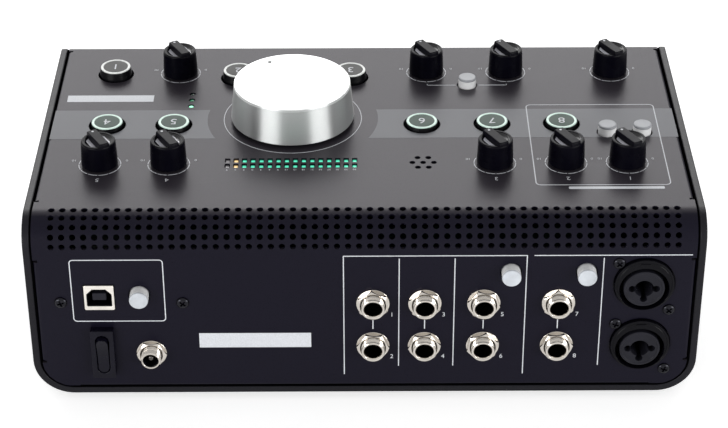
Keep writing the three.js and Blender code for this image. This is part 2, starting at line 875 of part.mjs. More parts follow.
// A square USB socket, its opening's upper corners cut, with the contact tongue in the middle.
function usbGeometry() {
  const halfX = usbWidth / 2;
  const halfY = usbHeight / 2;
  const shell = block(-halfX, halfX, -halfY, halfY, -inside - jackDepth, usbProud);
  const openX = usbOpeningWidth / 2;
  const openY = usbOpeningHeight / 2;
  const opening = prism([
    [-openX, -openY],
    [openX, -openY],
    [openX, openY - usbCornerCut],
    [openX - usbCornerCut, openY],
    [-openX + usbCornerCut, openY],
    [-openX, openY - usbCornerCut],
  ], usbProud - usbDepth, usbProud + overrun);
  const tongue = block(
    -usbTongueWidth / 2, usbTongueWidth / 2, -usbTongueHeight / 2, usbTongueHeight / 2,
    usbProud - usbDepth - overrun, usbProud - usbTongueInset,
  );
  return join(cut(shell, opening), tongue);
}

// The supply socket: a round body, a barrel through the panel and a pin in its bore.
function supplyGeometry() {
  const floor = supplyProud - supplyBoreDepth;
  const body = rod(supplyBody, -inside - supplyDepth, -inside, 12);
  const barrel = rod(supplyBarrel, -inside - overrun, supplyProud, 16);
  const bore = rod(supplyBore, floor, supplyProud + overrun, 14);
  const pin = rod(supplyPin, floor - overrun, supplyProud - supplyPinInset, 6);
  return join(cut(join(body, barrel), bore), pin);
}

const rockerPivot = bezelProud - rockerBody / 2 - rockerSag / 2;

// The power switch: a bezel proud of the panel, a snap-in body, and a slot with round ends for the
// rocker. The rocker's pivot sits in two blind holes.
function powerBodyGeometry() {
  const bezel = block(-bezelWidth / 2, bezelWidth / 2, -bezelHeight / 2, bezelHeight / 2, 0, bezelProud);
  const bodyX = bezelWidth / 2 - bezelLip;
  const bodyY = bezelHeight / 2 - bezelLip;
  const body = block(-bodyX, bodyX, -bodyY, bodyY, -switchBodyDepth, overrun);
  const slot = prism(
    stadium(rockerWidth + rockerGap * 2, rockerLength + rockerEndGap * 2),
    bezelProud - rockerCavity, bezelProud + overrun,
  );
  const reach = rockerWidth / 2 + rockerPivotReach + rockerGap;
  const pivotHole = rod(rockerPivotRadius + rockerGap, -reach, reach, 8);
  pivotHole.rotateY(quarter).translate(0, 0, rockerPivot);
  return cut(join(bezel, body), slot, pivotHole);
}

// The rocker, about its pivot on X, level. Its face sags in the middle.
function rockerGeometry() {
  const half = rockerLength / 2;
  const face = bezelProud + rockerProud - rockerPivot;
  const foot = face - rockerSag - rockerBody;
  const dish = [1, 0.5, 0, -0.5, -1].map((share) => [
    share * half, face - rockerSag * (1 - share ** 2),
  ]);
  const side = prismAcross([
    [-half, face - rockerSag - rockerBody / 2],
    [-half / 2, foot],
    [half / 2, foot],
    [half, face - rockerSag - rockerBody / 2],
    ...dish,
  ], -rockerWidth, rockerWidth);
  const plan = prism(stadium(rockerWidth, rockerLength), foot - overrun, face + overrun);
  const reach = rockerWidth / 2 + rockerPivotReach;
  const pivot = rod(rockerPivotRadius, -reach, reach, 8).rotateY(quarter);
  return join(common(plan, side), pivot);
}

// A rubber foot with a recess for its screw, under the cover's flat underside.
function footGeometry() {
  return revolve([
    [0, footScrewDepth],
    [footScrewRadius, footScrewDepth],
    [footScrewRadius, 0],
    [footRadius - footDraft, 0],
    [footRadius, footHeight],
    [0, footHeight],
  ], 12);
}

// Assembly. Inside the product group y runs from the rear plane. In the top group z = 0 is the top
// face. In the rear group +Z points out of the rear panel, and y runs up from the top face.
const product = new THREE.Group();
product.position.y = -(caseDepth + frontReach - rearReach) / 2;

const topGroup = new THREE.Group();
topGroup.position.z = topZ;
const rearGroup = new THREE.Group();
rearGroup.position.z = topZ;
rearGroup.rotation.x = quarter;
const frontGroup = new THREE.Group();
frontGroup.position.set(0, caseDepth, topZ);
frontGroup.rotation.x = -quarter;
product.add(topGroup, rearGroup, frontGroup);

product.add(piece('outer_cover', coverGeometry(), 'cover'));
const foot = footGeometry();
['rear', 'front'].forEach((end, row) => {
  ['left', 'right'].forEach((side, column) => {
    const x = (column * 2 - 1) * (halfWidth - footInsetX);
    const y = row === 0 ? footInsetY : caseDepth - footInsetY;
    product.add(placed(piece(`${end}_${side}_foot`, foot, 'rubber'), x, y, 0));
  });
});

topGroup.add(piece('top_panel', topPanelGeometry(), 'chassis'));
topGroup.add(piece('vent_bend', ventGeometry(), 'chassis'));
topGroup.add(piece('control_board', topBoardGeometry(), 'board'));
topGroup.add(piece('level_meter', meterGeometry(), 'lens'));

const knob = knobGeometry();
const button = buttonGeometry();
const push = pushGeometry(pushProud);
const latchedButtons = [
  'monitor_b_button', 'monitor_a_button', 'usb_source_button', 'line_source_button', 'mic_source_button',
];
Object.entries(topPlaceShares).forEach(([name, shares]) => {
  const [x, y] = topPlace(shares);
  if (name === 'volume_knob') {
    topGroup.add(placed(piece(name, volumeKnobGeometry(), 'aluminium'), x, y, 0, stopAngle));
  } else if (name.endsWith('knob')) {
    topGroup.add(placed(piece(name, knob, 'plastic'), x, y, 0, stopAngle));
  } else if (name.endsWith('button')) {
    const sunk = latchedButtons.includes(name) ? buttonLatched - buttonProud : 0;
    topGroup.add(placed(piece(name, button, 'plastic'), x, y, sunk));
  } else {
    topGroup.add(placed(piece(name, push, 'cap'), x, y, 0));
  }
});

rearGroup.add(piece('rear_panel', rearPanelGeometry(), 'rear'));
rearGroup.add(piece('rear_board', rearBoardGeometry(), 'board'));

const jack = jackGeometry();
const jackNut = nutGeometry(nutRadius, nutHeight, jackBushing + seam);
outputPlaces().forEach(([name, x, y], i) => {
  rearGroup.add(placed(piece(`${name}_jack`, jack, 'nickel'), x, y, 0));
  rearGroup.add(placed(piece(`${name}_nut`, jackNut, 'nickel'), x, y, 0, nutTurnShares[i] * hexTurn));
});
Object.entries(frontJackShares).forEach(([name, shares], i) => {
  const [x, y] = rearPlace(shares);
  const turn = THREE.MathUtils.degToRad(nutTurnShares[8 + i] * hexTurn);
  const nut = nutGeometry(nutRadius, nutHeight, jackBushing - seam).rotateZ(turn);
  frontGroup.add(placed(piece(`${name}_jack`, join(jack, nut), 'nickel'), x, -y, 0));
});

const combo = comboGeometry();
comboPlaces().forEach(([x, y], i) => {
  rearGroup.add(placed(piece(`input_${i + 1}_socket`, combo, 'plastic'), x, y, 0));
});
rearGroup.add(placed(piece('usb_socket', usbGeometry(), 'nickel'), ...rearPlace(usbPlaceShares), 0));
rearGroup.add(placed(piece('supply_socket', supplyGeometry(), 'nickel'), ...rearPlace(supplyPlaceShares), 0));
const supplyNut = nutGeometry(supplyNutRadius, supplyNutHeight, supplyBarrel + seam);
rearGroup.add(placed(
  piece('supply_nut', supplyNut, 'nickel'), ...rearPlace(supplyPlaceShares), 0, nutTurnShares[10] * hexTurn,
));
rearGroup.add(placed(piece('power_switch', powerBodyGeometry(), 'plastic'), ...rearPlace(powerPlaceShares), 0));
const rocker = placed(
  piece('power_rocker', rockerGeometry(), 'plastic'), ...rearPlace(powerPlaceShares), rockerPivot,
);
rocker.rotation.x = THREE.MathUtils.degToRad(rockerTilt);
rearGroup.add(rocker);
const rearPush = pushGeometry(rearPushProud);
rearPushPlaces().forEach(([name, x, y]) => {
  rearGroup.add(placed(piece(name, rearPush, 'cap'), x, y, 0));
});

export default product;
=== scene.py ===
"""Looks for a desktop studio monitor controller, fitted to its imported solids.

Sizes are in millimetres, in the case's own frame: x from the middle of the case, y from the rear
plane towards the user, and z or drop from the top face. The row frame has the rear plane facing -Y.
"""

import logging
import math
from collections.abc import Callable, Iterable, Sequence
from dataclasses import dataclass
from enum import Enum

import bpy
from mathutils import Matrix, Vector


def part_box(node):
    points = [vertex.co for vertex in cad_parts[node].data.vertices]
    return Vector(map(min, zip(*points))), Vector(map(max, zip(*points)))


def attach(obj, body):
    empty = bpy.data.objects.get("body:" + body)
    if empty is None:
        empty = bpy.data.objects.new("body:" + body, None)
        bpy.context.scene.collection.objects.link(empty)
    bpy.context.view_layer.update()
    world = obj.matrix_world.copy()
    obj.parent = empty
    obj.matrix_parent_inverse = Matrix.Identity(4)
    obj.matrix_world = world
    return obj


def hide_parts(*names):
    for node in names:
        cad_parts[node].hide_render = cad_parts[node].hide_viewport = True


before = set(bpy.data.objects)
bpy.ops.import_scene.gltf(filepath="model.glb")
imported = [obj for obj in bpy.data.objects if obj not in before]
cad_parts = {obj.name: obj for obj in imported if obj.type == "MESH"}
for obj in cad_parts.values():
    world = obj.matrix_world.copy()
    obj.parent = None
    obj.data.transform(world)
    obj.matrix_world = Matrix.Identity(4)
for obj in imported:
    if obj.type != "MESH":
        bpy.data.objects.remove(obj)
LOG = logging.getLogger("controller")
MM = 0.001

# Distances in metres under which points merge: in turned parts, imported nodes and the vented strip.
MERGE, NODE_MERGE, STRIP_MERGE = 1e-6, 2e-6, 2e-5

# A direction's share along an axis from which it counts as lying along it, and how near in
# millimetres an element has to be to a plane to count as on it.
ALONG = 0.9
NEAR = 0.1

Colour = tuple[float, float, float]
Ring = tuple[float, float]
Point = tuple[float, float]
Test = Callable[[Vector, Vector], bool]


class Body(Enum):
    """The bodies that several pieces ride on."""

    CASE = "case"


class Side(Enum):
    """The panels that pieces stand on."""

    TOP = "top"
    REAR = "rear"
    FRONT = "front"


@dataclass(frozen=True)
class CasePlan:
    """The sizes of the case that the pieces share."""

    width: float = 270.0
    depth: float = 147.5
    height: float = 82.2
    foot: float = 3.5
    wall: float = 3.4
    bend: float = 16.0
    seam: float = 0.3
    sheet: float = 1.5
    vent: float = 12.0
    vent_margin: float = 4.8
    front_fold: float = 2.0
    rear_y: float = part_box("outer_cover")[0].y / MM

    @property
    def top_z(self) -> float:
        """Height of the top face above the table."""
        return self.foot + self.height

    @property
    def sheet_half(self) -> float:
        """Half the width of the folded sheet."""
        return self.width / 2 - self.wall - self.seam

    def stand(self, side: Side, x: float, across: float, out: float = 0.0) -> Matrix:
        """Places a piece modelled about the origin, with +Z out of its panel.

        Args:
            side: The panel that it stands on.
            x: Its place from the middle of the case.
            across: Its distance from the rear plane on the top, or its drop on a wall.
            out: How far its origin stands out of the panel.

        Returns:
            The matrix that carries the piece to its place in the row frame.
        """
        if side is Side.TOP:
            return shift(x, self.rear_y + across, self.top_z + out)
        if side is Side.REAR:
            turn = Matrix.Rotation(math.pi / 2, 4, "X")
            return shift(x, self.rear_y - out, self.top_z - across) @ turn
        turn = Matrix.Rotation(math.pi, 4, "Z") @ Matrix.Rotation(math.pi / 2, 4, "X")
        return shift(x, self.rear_y + self.depth + out, self.top_z - across) @ turn


PLAN = CasePlan()


def spot(node: str, side: Side) -> Point:
    """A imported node's place on its panel.

    Args:
        node: The node's name.
        side: The panel that it stands on.

    Returns:
        Its distance from the middle of the case, and its distance from the rear plane or its drop.
    """
    low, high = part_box(node)
    middle = (low + high) / (2 * MM)
    return (middle.x, middle.y - PLAN.rear_y if side is Side.TOP else PLAN.top_z - middle.z)


def shift(x: float, y: float, z: float) -> Matrix:
    """A move by millimetres."""
    return Matrix.Translation(Vector((x, y, z)) * MM)


def spin_z(degrees: float) -> Matrix:
    """A turn about Z."""
    return Matrix.Rotation(math.radians(degrees), 4, "Z")


# Bench work


def clear() -> None:
    """Leaves edit mode and deselects everything."""
    if bpy.context.object is not None and bpy.context.object.mode != "OBJECT":
        bpy.ops.object.mode_set(mode="OBJECT")
    bpy.ops.object.select_all(action="DESELECT")


def take(*objects: bpy.types.Object) -> None:
    """Selects these objects alone and makes the first one active.

    Args:
        objects: The objects, the active one first.
    """
    clear()
    for obj in objects:
        obj.select_set(True)
    bpy.context.view_layer.objects.active = objects[0]


def edit(obj: bpy.types.Object, kind: str = "FACE") -> None:
    """Opens an object's mesh for editing, with all of it selected.

    Args:
        obj: The object.
        kind: FACE, EDGE or VERT.
    """
    take(obj)
    bpy.ops.object.mode_set(mode="EDIT")
    bpy.ops.mesh.select_mode(type=kind)
    bpy.ops.mesh.select_all(action="SELECT")


def ends(mesh: bpy.types.Mesh, item: bpy.types.MeshEdge) -> list[Vector]:
    """The places of an edge's two ends."""
    return [mesh.vertices[i].co for i in item.vertices]


def pick(obj: bpy.types.Object, kind: str, test: Test) -> None:
    """Opens a mesh with the faces, edges or vertices selected that pass a test.

    Args:
        obj: The object to edit.
        kind: FACE, EDGE or VERT.
        test: Takes the element's centre in millimetres and its normal or direction.
    """
    edit(obj, kind)
    bpy.ops.mesh.select_all(action="DESELECT")
    bpy.ops.object.mode_set(mode="OBJECT")
    mesh = obj.data
    if kind == "FACE":
        for face in mesh.polygons:
            face.select = test(face.center / MM, face.normal)
    elif kind == "EDGE":
        for item in mesh.edges:
            a, b = ends(mesh, item)
            item.select = test((a + b) / (2 * MM), (b - a).normalized())
    else:
        for vertex in mesh.vertices:
            vertex.select = test(vertex.co / MM, vertex.normal)
    bpy.ops.object.mode_set(mode="EDIT")


def pruned(obj: bpy.types.Object, kind: str, test: Test, what: str) -> bpy.types.Object:
    """Deletes what is selected by a test.

    Args:
        obj: The object.
        kind: FACE, EDGE or VERT.
        test: Takes the element's centre in millimetres and its normal or direction.
        what: The kind of deletion.

    Returns:
        The object.
    """
    pick(obj, kind, test)
    bpy.ops.mesh.delete(type=what)
    bpy.ops.object.mode_set(mode="OBJECT")
    return obj


def rolled(obj: bpy.types.Object, width: float, steps: int, test: Test) -> bpy.types.Object:
    """Rounds the edges that pass a test.

    Args:
        obj: The object.
        width: The width of the rounding.
        steps: The rounding's segments.
        test: Takes an edge's centre in millimetres and its direction.

    Returns:
        The object.
    """
    pick(obj, "EDGE", test)
    bpy.ops.mesh.bevel(offset=width * MM, segments=steps)
    bpy.ops.object.mode_set(mode="OBJECT")
    return obj


def close_up(obj: bpy.types.Object, reach: float = MERGE) -> bpy.types.Object:
    """Merges a mesh's doubles and turns its faces outwards.

    Args:
        obj: The object.
        reach: The distance in metres under which points merge.

    Returns:
        The object.
    """
    edit(obj, "VERT")
    bpy.ops.mesh.remove_doubles(threshold=reach)
    bpy.ops.mesh.normals_make_consistent(inside=False)
    bpy.ops.object.mode_set(mode="OBJECT")
    return obj


def settle(obj: bpy.types.Object) -> bpy.types.Object:
    """Puts an object's place into its mesh.

    Args:
        obj: The object.

    Returns:
        The object.
    """
    take(obj)
    bpy.ops.object.transform_apply(location=True, rotation=True, scale=True)
    return obj


def fitted(obj: bpy.types.Object, kind: str, **settings: object) -> bpy.types.Object:
    """Adds a modifier and applies it.

    Args:
        obj: The object.
        kind: The modifier's type.
        settings: The modifier's own properties.

    Returns:
        The object.
    """
    take(obj)
    modifier = obj.modifiers.new(kind.title(), kind)
    for key, value in settings.items():
        setattr(modifier, key, value)
    bpy.ops.object.modifier_apply(modifier=modifier.name)
    return obj


def eased(
    obj: bpy.types.Object, width: float, steps: int = 2, degrees: float = 40
) -> bpy.types.Object:
    """Rounds the edges that are sharper than an angle.

    Args:
        obj: The object.
        width: The width of the rounding.
        steps: The rounding's segments.
        degrees: The angle from which an edge counts as sharp.

    Returns:
        The object.
    """
    return fitted(
        obj, "BEVEL", width=width * MM, segments=steps, limit_method="ANGLE",
        angle_limit=math.radians(degrees),
    )


def eased_but(
    obj: bpy.types.Object, width: float, spare: Callable[[Vector], bool], steps: int = 2,
    degrees: float = 50,
) -> bpy.types.Object:
    """Rounds the sharp edges, but for those that are spared.

    Args:
        obj: The object.
        width: The width of the rounding.
        spare: Takes an edge's centre in millimetres and tells whether it stays sharp.
        steps: The rounding's segments.
        degrees: The angle from which an edge counts as sharp.

    Returns:
        The object.
    """
    edit(obj, "EDGE")
    bpy.ops.mesh.select_all(action="DESELECT")
    bpy.ops.mesh.edges_select_sharp(sharpness=math.radians(degrees))
    bpy.ops.object.mode_set(mode="OBJECT")
    mesh = obj.data
    weights = mesh.attributes.new("bevel_weight_edge", "FLOAT", "EDGE")
    for item in mesh.edges:
        a, b = ends(mesh, item)
        weights.data[item.index].value = float(item.select and not spare((a + b) / (2 * MM)))
    fitted(obj, "BEVEL", width=width * MM, segments=steps, limit_method="WEIGHT")
    spent = obj.data.attributes.get("bevel_weight_edge")
    if spent is not None:
        obj.data.attributes.remove(spent)
    return obj


def smooth(obj: bpy.types.Object, degrees: float = 30) -> bpy.types.Object:
    """Shades smooth, but for the edges sharper than an angle, with flat faces kept flat.

    Args:
        obj: The object.
        degrees: The angle from which an edge counts as sharp.

    Returns:
        The object.
    """
    take(obj)
    bpy.ops.object.shade_smooth_by_angle(angle=math.radians(degrees))
    return fitted(obj, "WEIGHTED_NORMAL", mode="FACE_AREA", weight=50, keep_sharp=True)


def joined(*objects: bpy.types.Object) -> bpy.types.Object:
    """Joins objects into the first one.

    Args:
        objects: The objects, the one that stays first.

    Returns:
        The first object.
    """
    take(*objects)
    if len(objects) > 1:
        bpy.ops.object.join()
    return objects[0]


def put_away(*objects: bpy.types.Object) -> None:
    """Removes objects that have been used up."""
    for obj in objects:
        bpy.data.objects.remove(obj)


def carved(
    obj: bpy.types.Object, *cutters: bpy.types.Object, operation: str = "DIFFERENCE",
) -> bpy.types.Object:
    """Cuts an object with others, which are used up.

    Args:
        obj: The object.
        cutters: The objects that cut it.
        operation: DIFFERENCE, or INTERSECT to keep what they share.

    Returns:
        The object.
    """
    cutter = joined(*cutters)
    fitted(obj, "BOOLEAN", object=cutter, operation=operation, solver="EXACT")
    put_away(cutter)
    return obj


def slab(low: Sequence[float], high: Sequence[float]) -> bpy.types.Object:
    """A block between two corners.

    Args:
        low: The lower corner, in millimetres.
        high: The upper corner, in millimetres.

    Returns:
        The new object.
    """
    clear()
    centre = [(a + b) / 2 * MM for a, b in zip(low, high)]
    bpy.ops.mesh.primitive_cube_add(size=1, location=centre)
    obj = bpy.context.object
    obj.scale = [(b - a) * MM for a, b in zip(low, high)]
    return settle(obj)


def turned(rings: Sequence[Ring], sides: int = 48, hollow: bool = False) -> bpy.types.Object:
    """A part turned about Z, pulled out of a circle ring by ring.

    Args:
        rings: Radius and height of each ring. A solid part is closed flat at both ends.
        sides: Sides of the circle.
        hollow: The rings are a closed section that stays off the axis.

    Returns:
        The new object.
    """
    clear()
    radius, height = rings[0]
    bpy.ops.mesh.primitive_circle_add(
        vertices=sides, radius=radius * MM, fill_type="NOTHING" if hollow else "NGON",
    )
    obj = bpy.context.object
    obj.location.z = height * MM
    settle(obj)
    edit(obj, "EDGE" if hollow else "FACE")
    path = [*rings[1:], rings[0]] if hollow else rings[1:]
    for next_radius, next_height in path:
        move = {"value": (0, 0, (next_height - height) * MM)}
        if hollow:
            bpy.ops.mesh.extrude_edges_move(TRANSFORM_OT_translate=move)
        else:
            bpy.ops.mesh.extrude_region_move(TRANSFORM_OT_translate=move)
        share = next_radius / radius
        bpy.ops.transform.resize(value=(share, share, 1), center_override=(0, 0, next_height * MM))
        radius, height = next_radius, next_height
    bpy.ops.object.mode_set(mode="OBJECT")
    return close_up(obj)


def thread(radius: float, depth: float, start: float, end: float, pitch: float) -> list[Ring]:
    """The rings of a screw thread.

    Args:
        radius: The thread's outer radius.
        depth: The depth of its grooves.
        start: The height of its first turn.
        end: The height below which each turn starts.
        pitch: The height of a turn.

    Returns:
        The rings, three to a turn.
    """
    rings: list[Ring] = []
    z = start
    while z < end:
        rings += [(radius, z), (radius - depth, z + 0.2), (radius, z + 0.4)]
        z += pitch
    return rings


def hexagon(across: float, low: float, high: float) -> bpy.types.Object:
    """A hexagonal prism, by its width across flats."""
    return turned([(across / math.sqrt(3), low), (across / math.sqrt(3), high)], 6)


def plate(
    x0: float, x1: float, y0: float, y1: float, low: float, high: float, radius: float = 0.0
) -> bpy.types.Object:
    """A flat plate with its upright edges rounded."""
    obj = slab((x0, y0, low), (x1, y1, high))
    return rolled(obj, radius, 8, lambda c, along: abs(along.z) > ALONG) if radius > 0 else obj


def copied(obj: bpy.types.Object, place: Matrix) -> bpy.types.Object:
    """A copy with its own mesh, moved in its mesh.

    Args:
        obj: The object to copy.
        place: The move, as a matrix.

    Returns:
        The copy.
    """
    twin = obj.copy()
    twin.data = obj.data.copy()
    bpy.context.scene.collection.objects.link(twin)
    twin.data.transform(place)
    return twin


def moved(obj: bpy.types.Object, place: Matrix) -> bpy.types.Object:
    """Moves an object in its mesh."""
    obj.data.transform(place)
    return obj


def from_node(node: str) -> bpy.types.Object:
    """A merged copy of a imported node, to be drilled and eased.

    Args:
        node: The node's name.

    Returns:
        The copy.
    """
    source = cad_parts[node]
    obj = bpy.data.objects.new(node + "_copy", source.data.copy())
    bpy.context.scene.collection.objects.link(obj)
    edit(obj, "VERT")
    bpy.ops.mesh.remove_doubles(threshold=NODE_MERGE)
    bpy.ops.mesh.select_mode(type="FACE")
    bpy.ops.mesh.select_all(action="SELECT")
    bpy.ops.mesh.dissolve_limited(angle_limit=math.radians(0.4))
    bpy.ops.object.mode_set(mode="OBJECT")
    return obj


# Finishes


class Tree:
    """A material's node tree, with short ways to add and join nodes."""

    def __init__(self, name: str) -> None:
        """Starts a material with a Principled shader.

        Args:
            name: The material's name.
        """
        self.material = bpy.data.materials.new(name)
        self.material.use_nodes = True
        self.nodes = self.material.node_tree.nodes
        self.shader = next(n for n in self.nodes if n.type == "BSDF_PRINCIPLED")
        places = self.nodes.new("ShaderNodeTexCoord")
        self.where, self.facing = places.outputs["Object"], places.outputs["Normal"]

    def add(
        self, kind: str, inputs: dict[str | int, object] | None = None, **settings: object
    ) -> bpy.types.Node:
        """Adds a node, sets its properties, and joins or sets its inputs.

        Args:
            kind: The node's type, without its ShaderNode prefix.
            inputs: Values or output sockets, by input name or place.
            settings: The node's own properties.

        Returns:
            The node.
        """
        node = self.nodes.new("ShaderNode" + kind)
        for key, value in settings.items():
            setattr(node, key, value)
        for key, value in (inputs or {}).items():
            self.join(value, node.inputs[key])
        return node

    def join(self, value: object, socket: bpy.types.NodeSocket) -> None:
        """Joins an output to an input, or sets the input's value.

        Args:
            value: An output socket, or a plain value.
            socket: The input.
        """
        if isinstance(value, bpy.types.NodeSocket):
            self.material.node_tree.links.new(value, socket)
        else:
            socket.default_value = value

    def noise(
        self, scale: float, detail: float = 3.0, stretch: Sequence[float] = (1, 1, 1)
    ) -> bpy.types.NodeSocket:
        """A noise's value, at a scale in cells to the metre.

        Args:
            scale: Cells to the metre.
            detail: The noise's detail.
            stretch: The scale along each axis.

        Returns:
            The noise's output.
        """
        mapped = self.add("Mapping", {"Vector": self.where, "Scale": stretch})
        inputs = {"Vector": mapped.outputs[0], "Scale": scale, "Detail": detail}
        return self.add("TexNoise", inputs).outputs[0]

    def spread(self, value: bpy.types.NodeSocket, low: float, high: float) -> bpy.types.NodeSocket:
        """Spreads a noise's middle range over two values."""
        return self.ramp(value, 0.3, 0.7, low, high)

    def ramp(
        self, value: bpy.types.NodeSocket, start: float, end: float, low: float, high: float,
    ) -> bpy.types.NodeSocket:
        """Spreads a range of a value over two others."""
        return self.add("MapRange", {0: value, 1: start, 2: end, 3: low, 4: high}).outputs[0]

    def math(self, operation: str, a: object, b: object = 0.0) -> bpy.types.NodeSocket:
        """The result of a Math node."""
        return self.add("Math", {0: a, 1: b}, operation=operation).outputs[0]

    def blend(self, share: bpy.types.NodeSocket, low: object, high: object) -> bpy.types.NodeSocket:
        """Mixes two colours or colour outputs, by a share."""
        return self.add("Mix", {0: share, 6: low, 7: high}, data_type="RGBA").outputs[2]

    def tint(self, share: bpy.types.NodeSocket, low: Colour, high: Colour) -> bpy.types.NodeSocket:
        """A colour between two, by a share."""
        return self.blend(share, (*low, 1), (*high, 1))

    def upward(self) -> bpy.types.NodeSocket:
        """How far the surface faces up."""
        return self.add("SeparateXYZ", {0: self.facing}).outputs[2]

    def bump(self, height: bpy.types.NodeSocket, strength: float, reach: float) -> None:
        """Raises the surface by a height, over a reach in millimetres.

        Args:
            height: The height, as an output.
            strength: How strong it is.
            reach: The height that 1 stands for.
        """
        node = self.add("Bump", {"Strength": strength, "Distance": reach * MM, "Height": height})
        self.join(node.outputs[0], self.shader.inputs["Normal"])

    def set(self, **values: object) -> None:
        """Sets or joins the shader's inputs, by name with _ for a space."""
        for key, value in values.items():
            self.join(value, self.shader.inputs[key.replace("_", " ")])


def shade(colour: Colour, share: float) -> Colour:
    """A colour made lighter or darker."""
    return tuple(min(1.0, part * share) for part in colour)


@dataclass(frozen=True)
class PowderCoat:
    """Baked powder paint, fine-grained, with a faint orange peel."""

    colour: Colour
    roughness: float = 0.42
    grain: float = 0.35
    cells: float = 2600.0
    reach: float = 0.05
    gloss: float = 0.35
    speck: float = 0.12
    # A darker colour and gloss for faces that don't face up: painted shade.
    aside: Colour | None = None
    gloss_aside: float = 0.1
    sheen: Colour = (1.0, 1.0, 1.0)

    def specked(
        self, tree: Tree, share: bpy.types.NodeSocket, colour: Colour
    ) -> bpy.types.NodeSocket:
        """A colour with its specks."""
        return tree.tint(share, shade(colour, 1 - self.speck), shade(colour, 1 + self.speck))

    def build(self, name: str) -> bpy.types.Material:
        """Makes the material; where the paint doesn't face up, it takes a darker colour and less
        gloss as painted shade.

        Args:
            name: The material's name.

        Returns:
            The material.
        """
        tree = Tree(name)
        grain = tree.noise(self.cells, 2.0)
        peel = tree.noise(self.cells / 12, 2.0)
        cloud = tree.noise(18.0, 4.0)
        mixed = tree.math(
            "ADD", tree.math("MULTIPLY", grain, 0.7), tree.math("MULTIPLY", cloud, 0.3)
        )
        share = tree.spread(mixed, 0.0, 1.0)
        colour, gloss = self.specked(tree, share, self.colour), self.gloss
        # Faces that turn away from up blend into the darker colour: painted shade.
        if self.aside is not None:
            painted_shade_share = tree.ramp(tree.upward(), 1.0, 0.93, 0.0, 1.0)
            colour = tree.blend(painted_shade_share, colour, self.specked(tree, share, self.aside))
            gloss = tree.ramp(painted_shade_share, 0.0, 1.0, self.gloss, self.gloss_aside)
        tree.set(
            Base_Color=colour,
            Roughness=tree.spread(grain, self.roughness - 0.06, self.roughness + 0.06),
            Specular_IOR_Level=gloss,
            Specular_Tint=(*self.sheen, 1),
        )
        tree.bump(tree.math("ADD", grain, tree.math("MULTIPLY", peel, 0.6)), self.grain, self.reach)
        return tree.material


@dataclass(frozen=True)
class Moulded:
    """Moulded plastic with a fine spark-eroded grain."""

    colour: Colour
    roughness: float = 0.38
    grain: float = 0.15
    gloss: float = 0.45

    def build(self, name: str) -> bpy.types.Material:
        """Makes the material.

        Args:
            name: The material's name.

        Returns:
            The material.
        """
        tree = Tree(name)
        grain = tree.noise(4200.0, 2.0)
        wear = tree.noise(160.0, 4.0)
        tree.set(
            Base_Color=tree.tint(
                tree.spread(wear, 0, 1), shade(self.colour, 0.85), shade(self.colour, 1.15)
            ),
            Roughness=tree.spread(wear, self.roughness - 0.05, self.roughness + 0.07),
            Specular_IOR_Level=self.gloss,
        )
        tree.bump(grain, self.grain, 0.02)
        return tree.material


@dataclass(frozen=True)
class Plated:
    """Nickel plate, with fine turning lines and a little tarnish."""

    colour: Colour = (0.84, 0.8, 0.74)
    roughness: float = 0.12

    def build(self, name: str) -> bpy.types.Material:
        """Makes the material.

        Args:
            name: The material's name.

        Returns:
            The material.
        """
        tree = Tree(name)
        tarnish = tree.noise(220.0, 5.0)
        lines = tree.noise(900.0, 2.0, (1, 9, 1))
        tree.set(
            Base_Color=tree.tint(tree.spread(tarnish, 0, 1), shade(self.colour, 0.82), self.colour),
            Roughness=tree.spread(lines, self.roughness - 0.04, self.roughness + 0.06),
            Metallic=1.0,
        )
        tree.bump(lines, 0.06, 0.02)
        return tree.material


@dataclass(frozen=True)
class SatinTurned:
    """Aluminium turned on a lathe: its rings draw the highlights out into upright streaks."""

    axis: Point
    colour: Colour = (0.83, 0.84, 0.84)
    # The side wall takes a darker colour than the top face of the same aluminium: painted shade.
    wall: Colour = (0.55, 0.565, 0.56)
    roughness: float = 0.38
    streak: float = 0.84

    def build(self, name: str) -> bpy.types.Material:
        """Makes the material.

        Args:
            name: The material's name.

        Returns:
            The material.
        """
        tree = Tree(name)
        away = tree.add("VectorMath", {
            0: tree.where, 1: (self.axis[0] * MM, self.axis[1] * MM, 0),
        }, operation="SUBTRACT")
        parts = tree.add("SeparateXYZ", {0: away.outputs[0]})
        flat = tree.math("SQRT", tree.math(
            "ADD", tree.math("MULTIPLY", parts.outputs[0], parts.outputs[0]),
            tree.math("MULTIPLY", parts.outputs[1], parts.outputs[1]),
        ))
        path = tree.math("ADD", tree.math("MULTIPLY", flat, 3.0), parts.outputs[2])
        ring = tree.add(
            "TexNoise", {"W": path, "Scale": 5200.0, "Detail": 3.0}, noise_dimensions="1D"
        )
        grain = tree.noise(5200.0, 2.0)
        around = tree.add("Tangent", direction_type="RADIAL", axis="Z")
        speck = tree.spread(grain, 0, 1)
        wall = tree.tint(speck, shade(self.wall, 0.9), self.wall)
        face = tree.tint(speck, shade(self.colour, 0.94), self.colour)
        tree.set(
            # Blends the wall's darker colour into the face's by how far the surface faces up:
            # painted shade.
            Base_Color=tree.blend(tree.ramp(tree.upward(), 0.3, 0.9, 0.0, 1.0), wall, face),
            Roughness=tree.spread(ring.outputs[0], self.roughness - 0.02, self.roughness + 0.03),
            Metallic=1.0,
            Anisotropic=self.streak,
            Anisotropic_Rotation=0.25,
            Tangent=around.outputs[0],
        )
        tree.bump(tree.math("ADD", tree.math("MULTIPLY", ring.outputs[0], 0.3), grain), 0.05, 0.02)
        return tree.material


